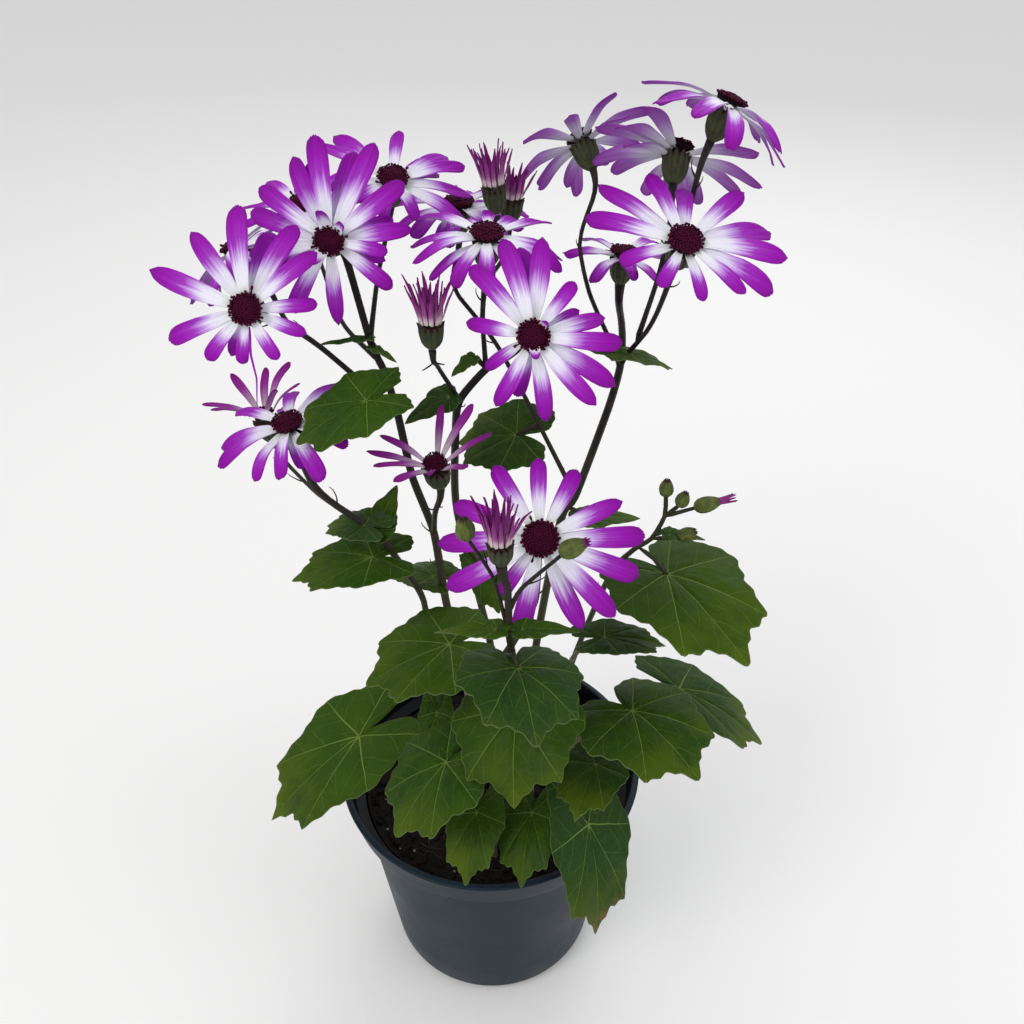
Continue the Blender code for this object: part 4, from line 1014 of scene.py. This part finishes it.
class Value:
    """One value in a material. Sums, products and powers of it make math nodes."""

    __add__ = math_call("ADD")
    __sub__ = math_call("SUBTRACT")
    __mul__ = math_call("MULTIPLY")
    __truediv__ = math_call("DIVIDE")
    __pow__ = math_call("POWER")
    __abs__ = math_call("ABSOLUTE")
    largest = math_call("MAXIMUM")
    fraction = math_call("FRACT")

    def __init__(self, tree, socket):
        self.tree = tree
        self.socket = socket

    def ease(self, low, high, start=0.0, end=1.0):
        """Runs smoothly from start to end while this value runs from low to high."""
        inputs = {"Value": self, "From Min": low, "From Max": high, "To Min": start, "To Max": end}
        return new_node(self.tree, "MapRange", inputs, "Result", interpolation_type="SMOOTHSTEP")

    def mix(self, first, second):
        """The first colour where this value is 0, the second where it is 1."""
        return new_node(self.tree, "Mix", {0: self, 6: first, 7: second}, 2, data_type="RGBA")

    def ramp(self, *stops):
        """A colour ramp over this value. Each stop is a place and a colour."""
        result = new_node(self.tree, "ValToRGB", {0: self})
        elements = result.socket.node.color_ramp.elements
        while len(elements) < len(stops):
            elements.new(0.5)
        for element, (spot, colour) in zip(elements, stops):
            element.position = spot
            element.color = (*colour, 1.0)
        return result


class Look:
    """One material, with short calls for the nodes that it needs."""

    def __init__(self, name):
        self.material = bpy.data.materials.new(name)
        self.material.use_nodes = True
        self.tree = self.material.node_tree
        self.spot = new_node(self.tree, "TexCoord", {}, "Object")

    def read(self, *names):
        """The values that the mesh holds under these names."""
        return [new_node(self.tree, "Attribute", {}, "Fac", attribute_name=name) for name in names]

    def split(self, vector):
        outputs = new_node(self.tree, "SeparateXYZ", {0: vector}).socket.node.outputs
        return [Value(self.tree, output) for output in outputs]

    def uv(self):
        return self.split(new_node(self.tree, "UVMap", {}, "UV", uv_map="UVMap"))[:2]

    def join(self, x, y, z):
        return new_node(self.tree, "CombineXYZ", {0: x, 1: y, 2: z})

    def noise(self, scale, detail=3.0, rough=0.55, at=None):
        inputs = {"Vector": at or self.spot, "Scale": scale, "Detail": detail, "Roughness": rough}
        return new_node(self.tree, "TexNoise", inputs, "Fac")

    def finish(self, colour, rough, specular, sheen=0.0, bump=None):
        """Feeds the shader. A bump is its height, strength and distance."""
        inputs = {"Base Color": colour, "Roughness": rough, "Specular IOR Level": specular,
                  "Sheen Weight": sheen}
        if bump:
            bump = dict(zip(("Height", "Strength", "Distance"), bump))
            inputs["Normal"] = new_node(self.tree, "Bump", bump)
        feed(self.tree.nodes["Principled BSDF"], inputs)
        return self.material


def ray_material():
    """White at the root, streaking into magenta; dull mauve on the back, wine when young."""
    look = Look("cineraria_ray")
    u, v = look.uv()
    along, across, tone, back, young = look.read("along", "across", "tone", "back", "young")
    streak = look.noise(1.0, 4.0, 0.6, look.join(u * 9.0, v * 1.1, tone * 37.0))
    fine = look.noise(1.0, 2.0, 0.5, look.join(u * 30.0, v * 1.6, tone * 11.0))
    shifted = along + abs(across) ** 2.5 * 0.13 + streak * 0.42 + tone * 0.1 - 0.26
    front = shifted.ramp((0.0, (0.72, 0.78, 0.72)), (0.14, (0.90, 0.93, 0.95)),
                         (0.38, (0.84, 0.80, 0.96)), (0.50, (0.58, 0.31, 0.78)),
                         (0.61, (0.37, 0.040, 0.52)), (0.80, (0.32, 0.007, 0.43)),
                         (1.0, (0.24, 0.003, 0.31)))
    dull = shifted.ramp((0.0, (0.62, 0.64, 0.60)), (0.3, (0.55, 0.51, 0.66)),
                        (0.6, (0.37, 0.15, 0.50)), (1.0, (0.29, 0.05, 0.39)))
    wine = shifted.ramp((0.0, (0.70, 0.68, 0.56)), (0.17, (0.60, 0.42, 0.50)),
                        (0.34, (0.28, 0.040, 0.21)), (1.0, (0.21, 0.009, 0.17)))
    colour = fine.ease(0.5, 0.72, 0.0, 0.22).mix(back.mix(front, dull), (0.22, 0.015, 0.36))
    colour = (young * 0.9).mix(colour, wine)
    return look.finish(colour, fine.ease(0.2, 0.8, 0.45, 0.62), 0.1,
                       bump=(streak + fine * 0.5, 0.35, 0.0003))


def disc_material():
    look = Look("cineraria_disc")
    tip, tone = look.read("tip", "tone")
    grain = look.noise(2600.0, 2.0)
    colour = tip.ramp((0.0, (0.006, 0.0001, 0.002)), (0.6, (0.024, 0.0003, 0.007)),
                      (1.0, (0.056, 0.0008, 0.018)))
    colour = tone.ease(0.5, 1.0, 0.0, 0.4).mix(colour, (0.09, 0.0015, 0.030))
    return look.finish(colour, grain.ease(0.3, 0.7, 0.6, 0.85), 0.12, bump=(grain, 0.3, 0.0001))


def calyx_material():
    """Dull green cups, fresher green buds, dark tips."""
    look = Look("cineraria_calyx")
    tip, tone, fresh = look.read("tip", "tone", "fresh")
    blotch = look.noise(420.0)
    patchy = blotch.ease(0.35, 0.7)
    green = patchy.mix((0.018, 0.026, 0.010), (0.048, 0.062, 0.018))
    green = (tone * 0.3).mix(green, (0.05, 0.042, 0.020))
    green = fresh.mix(green, patchy.mix((0.055, 0.072, 0.014), (0.120, 0.150, 0.028)))
    edge = tip + blotch * 0.5 - 0.25
    colour = edge.ease(0.4, 0.9).mix(green, (0.030, 0.008, 0.006))
    return look.finish(colour, blotch.ease(0.3, 0.7, 0.5, 0.7), 0.25, 0.05,
                       bump=(look.noise(1500.0, 2.0), 0.4, 0.0002))


def stem_material():
    """Dark purple where it is young and high, dull green lower down, pale hairs."""
    look = Look("cineraria_stem")
    hair = look.read("hair")[0]
    height = look.split(look.spot)[2].ease(0.20, 0.30)
    patch = look.noise(160.0, 4.0)
    fleck = look.noise(900.0, 2.0)
    low = patch.ease(0.35, 0.65).mix((0.045, 0.058, 0.022), (0.060, 0.045, 0.030))
    high = patch.ease(0.35, 0.7).mix((0.010, 0.006, 0.010), (0.026, 0.022, 0.017))
    colour = fleck.ease(0.6, 0.8, 0.0, 0.35).mix(height.mix(low, high), (0.08, 0.08, 0.06))
    colour = (hair * 0.7).mix(colour, (0.25, 0.24, 0.22))
    return look.finish(colour, patch.ease(0.3, 0.7, 0.45, 0.62), 0.16, bump=(fleck, 0.35, 0.0002))


def vein_network(look):
    """How strongly a spot of a leaf lies on a main vein or on one that branches off it."""
    u, v = look.uv()
    wander = look.noise(90.0, 2.0)
    off = abs(v + wander * 0.036 - 0.018)
    thin = (u * -0.0070 + 0.0085).largest(0.0024)
    main = (off / thin).ease(0.55, 1.35, 1.0, 0.0)
    slant = u - off * 1.15 + wander * 0.16 - 0.08
    gap = abs((slant * 4.2).fraction() - 0.5)
    side = gap.ease(0.0, 0.024, 0.6, 0.0) * off.ease(0.16, 0.3, 1.0, 0.2) * slant.ease(0.02, 0.12)
    return main.largest(side)


def leaf_material():
    """Deep green with pale veins: UV runs along and across the nearest main vein."""
    look = Look("cineraria_leaf")
    edge, tone, back, brown, size, tipward = look.read("edge", "tone", "back", "brown", "size", "tipward")
    veins = vein_network(look)
    web = new_node(look.tree, "TexVoronoi", {"Vector": look.spot, "Scale": 420.0}, "Distance",
                   feature="DISTANCE_TO_EDGE").ease(0.0, 0.09, 1.0, 0.0)
    blotch = look.noise(70.0, 4.0)
    deep = blotch.ease(0.35, 0.7).mix((0.015, 0.048, 0.0018), (0.031, 0.074, 0.0025))
    deep = tone.ease(0.3, 1.0, 0.0, 0.4).mix(deep, (0.044, 0.092, 0.003))
    deep = tone.ease(0.0, 0.45, 0.6, 0.0).mix(deep, (0.018, 0.047, 0.012))
    deep = (tipward * blotch.ease(0.3, 0.6)).mix(deep, (0.098, 0.140, 0.003))
    deep = (web * 0.14).mix(deep, (0.070, 0.13, 0.020))
    colour = (veins * 0.68).mix(deep, (0.19, 0.28, 0.060))
    colour = (edge.ease(0.985, 0.999) * 0.45).mix(colour, (0.19, 0.24, 0.08))
    scorch = brown * look.noise(140.0).ease(0.5, 0.68) * edge.ease(0.8, 0.98)
    colour = scorch.mix(colour, (0.16, 0.09, 0.035))
    under = (veins * 0.6).mix((0.095, 0.14, 0.075), (0.20, 0.25, 0.13))
    relief = (veins * -1.0 + web * -0.22) * size * 0.3
    return look.finish(back.mix(colour, under), blotch.ease(0.3, 0.75, 0.42, 0.58), 0.1,
                       bump=(relief, 0.4, 0.0005))


def leaf_stalk_material():
    look = Look("cineraria_leaf_stalk")
    hair = look.read("hair")[0]
    patch = look.noise(220.0, 4.0)
    colour = patch.ease(0.35, 0.68).mix((0.085, 0.095, 0.040), (0.19, 0.135, 0.085))
    colour = (hair * 0.7).mix(colour, (0.30, 0.29, 0.25))
    return look.finish(colour, patch.ease(0.3, 0.7, 0.42, 0.58), 0.45, 0.15,
                       bump=(look.noise(1300.0, 2.0), 0.35, 0.0002))


def pot_material():
    """Slate plastic with a fine moulded grain, faint turning lines and pale specks; its inner faces are
    painted near black as painted shade.
    """
    look = Look("nursery_pot")
    inside = look.read("inside")[0]
    dust = look.noise(38.0, 5.0, 0.62)
    grain = look.noise(2400.0, 2.0)
    bands = look.noise(700.0, 1.0, at=look.join(0.0, 0.0, look.split(look.spot)[2]))
    slate = dust.ease(0.3, 0.75).mix((0.006, 0.0150, 0.026), (0.010, 0.0205, 0.033))
    colour = look.noise(620.0).ease(0.68, 0.78, 0.0, 0.35).mix(slate, (0.06, 0.062, 0.06))
    # Painted shade: the inner wall and floor are mixed to near black
    colour = (inside * 0.9).mix(colour, (0.002, 0.003, 0.004))
    return look.finish(colour, dust.ease(0.3, 0.75, 0.38, 0.5), 0.15,
                       bump=(grain + bands * 0.35, 0.16, 0.0002))


def soil_material(name, dark, light):
    look = Look(name)
    clump = look.noise(320.0, 5.0, 0.65)
    return look.finish(clump.ease(0.35, 0.72).mix(dark, light), clump.ease(0.3, 0.7, 0.8, 0.97),
                       0.25, bump=(look.noise(1400.0), 0.6, 0.0006))


def make_floor():
    look = Look("studio_floor")
    shade = (look.noise(30.0, 2.0) * 0.05).mix((0.93, 0.93, 0.93), (0.88, 0.88, 0.88))
    mesh = bpy.data.meshes.new("floor")
    reach = 6.0
    below = -0.0003
    mesh.from_pydata([(-reach, -reach, below), (reach, -reach, below),
                      (reach, reach, below), (-reach, reach, below)], [], [[0, 1, 2, 3]])
    mesh.materials.append(look.finish(shade, 0.75, 0.2))
    floor = new_item("floor", mesh)


def make_light(name, spot, size, power, colour):
    """A round lamp that looks at the middle of the plant."""
    lamp = bpy.data.lights.new(name, "AREA")
    lamp.shape = "DISK"
    lamp.size = size
    lamp.energy = power
    lamp.color = colour
    item = new_item(name, lamp)
    item.location = spot
    aim = Vector((0.0, 0.0, 0.2)) - Vector(spot)
    item.rotation_euler = aim.to_track_quat("-Z", "Y").to_euler()


def make_studio():
    world = bpy.data.worlds.new("studio")
    world.use_nodes = True
    feed(world.node_tree.nodes["Background"], {"Color": (1.0, 1.0, 1.0), "Strength": 0.7})
    bpy.context.scene.world = world
    bpy.context.scene.view_settings.view_transform = "Standard"
    make_light("key", (-0.7, -0.8, 1.3), 0.7, 6.5, (1.0, 0.98, 0.95))
    make_light("fill", (1.1, -0.5, 0.9), 0.9, 2.6, (0.95, 0.97, 1.0))
    make_light("rim", (0.3, 1.0, 1.0), 0.8, 3.0, (1.0, 1.0, 1.0))


def make_camera():
    lens = bpy.data.cameras.new("camera")
    lens.sensor_width = SENSOR_MM
    lens.lens = FOCAL_LENGTH_PX / PICTURE_SIZE_PX * SENSOR_MM
    lens.clip_start = 0.01
    camera = new_item("camera", lens)
    camera.location = Vector(CAMERA_PLACE) * CM
    camera.rotation_euler = (math.radians(90.0 - CAMERA_DOWN), 0.0, 0.0)
    bpy.context.scene.camera = camera


def main():
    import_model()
    make_camera()
    make_studio()
    make_floor()
    materials = {"ray": ray_material(), "calyx": calyx_material(), "stem": stem_material(),
                 "leaf": leaf_material(), "leaf_stalk": leaf_stalk_material()}
    disc = disc_material()
    make_pot(pot_material())
    make_soil(soil_material("potting_soil", (0.002, 0.0016, 0.0012), (0.010, 0.007, 0.005)),
              soil_material("grit", (0.18, 0.16, 0.13), (0.40, 0.38, 0.34)),
              soil_material("fibre", (0.025, 0.016, 0.010), (0.07, 0.045, 0.026)))
    for name in STEMS:
        make_stem(name, materials)
    for name in LEAVES:
        make_leaf(name, materials)
    for name, head in HEADS.items():
        make_rays(name, head, materials["ray"])
        make_disc(name, head, disc)
    for name, head in QUILLS.items():
        make_quills(name, head, materials["ray"])
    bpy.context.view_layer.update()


main()
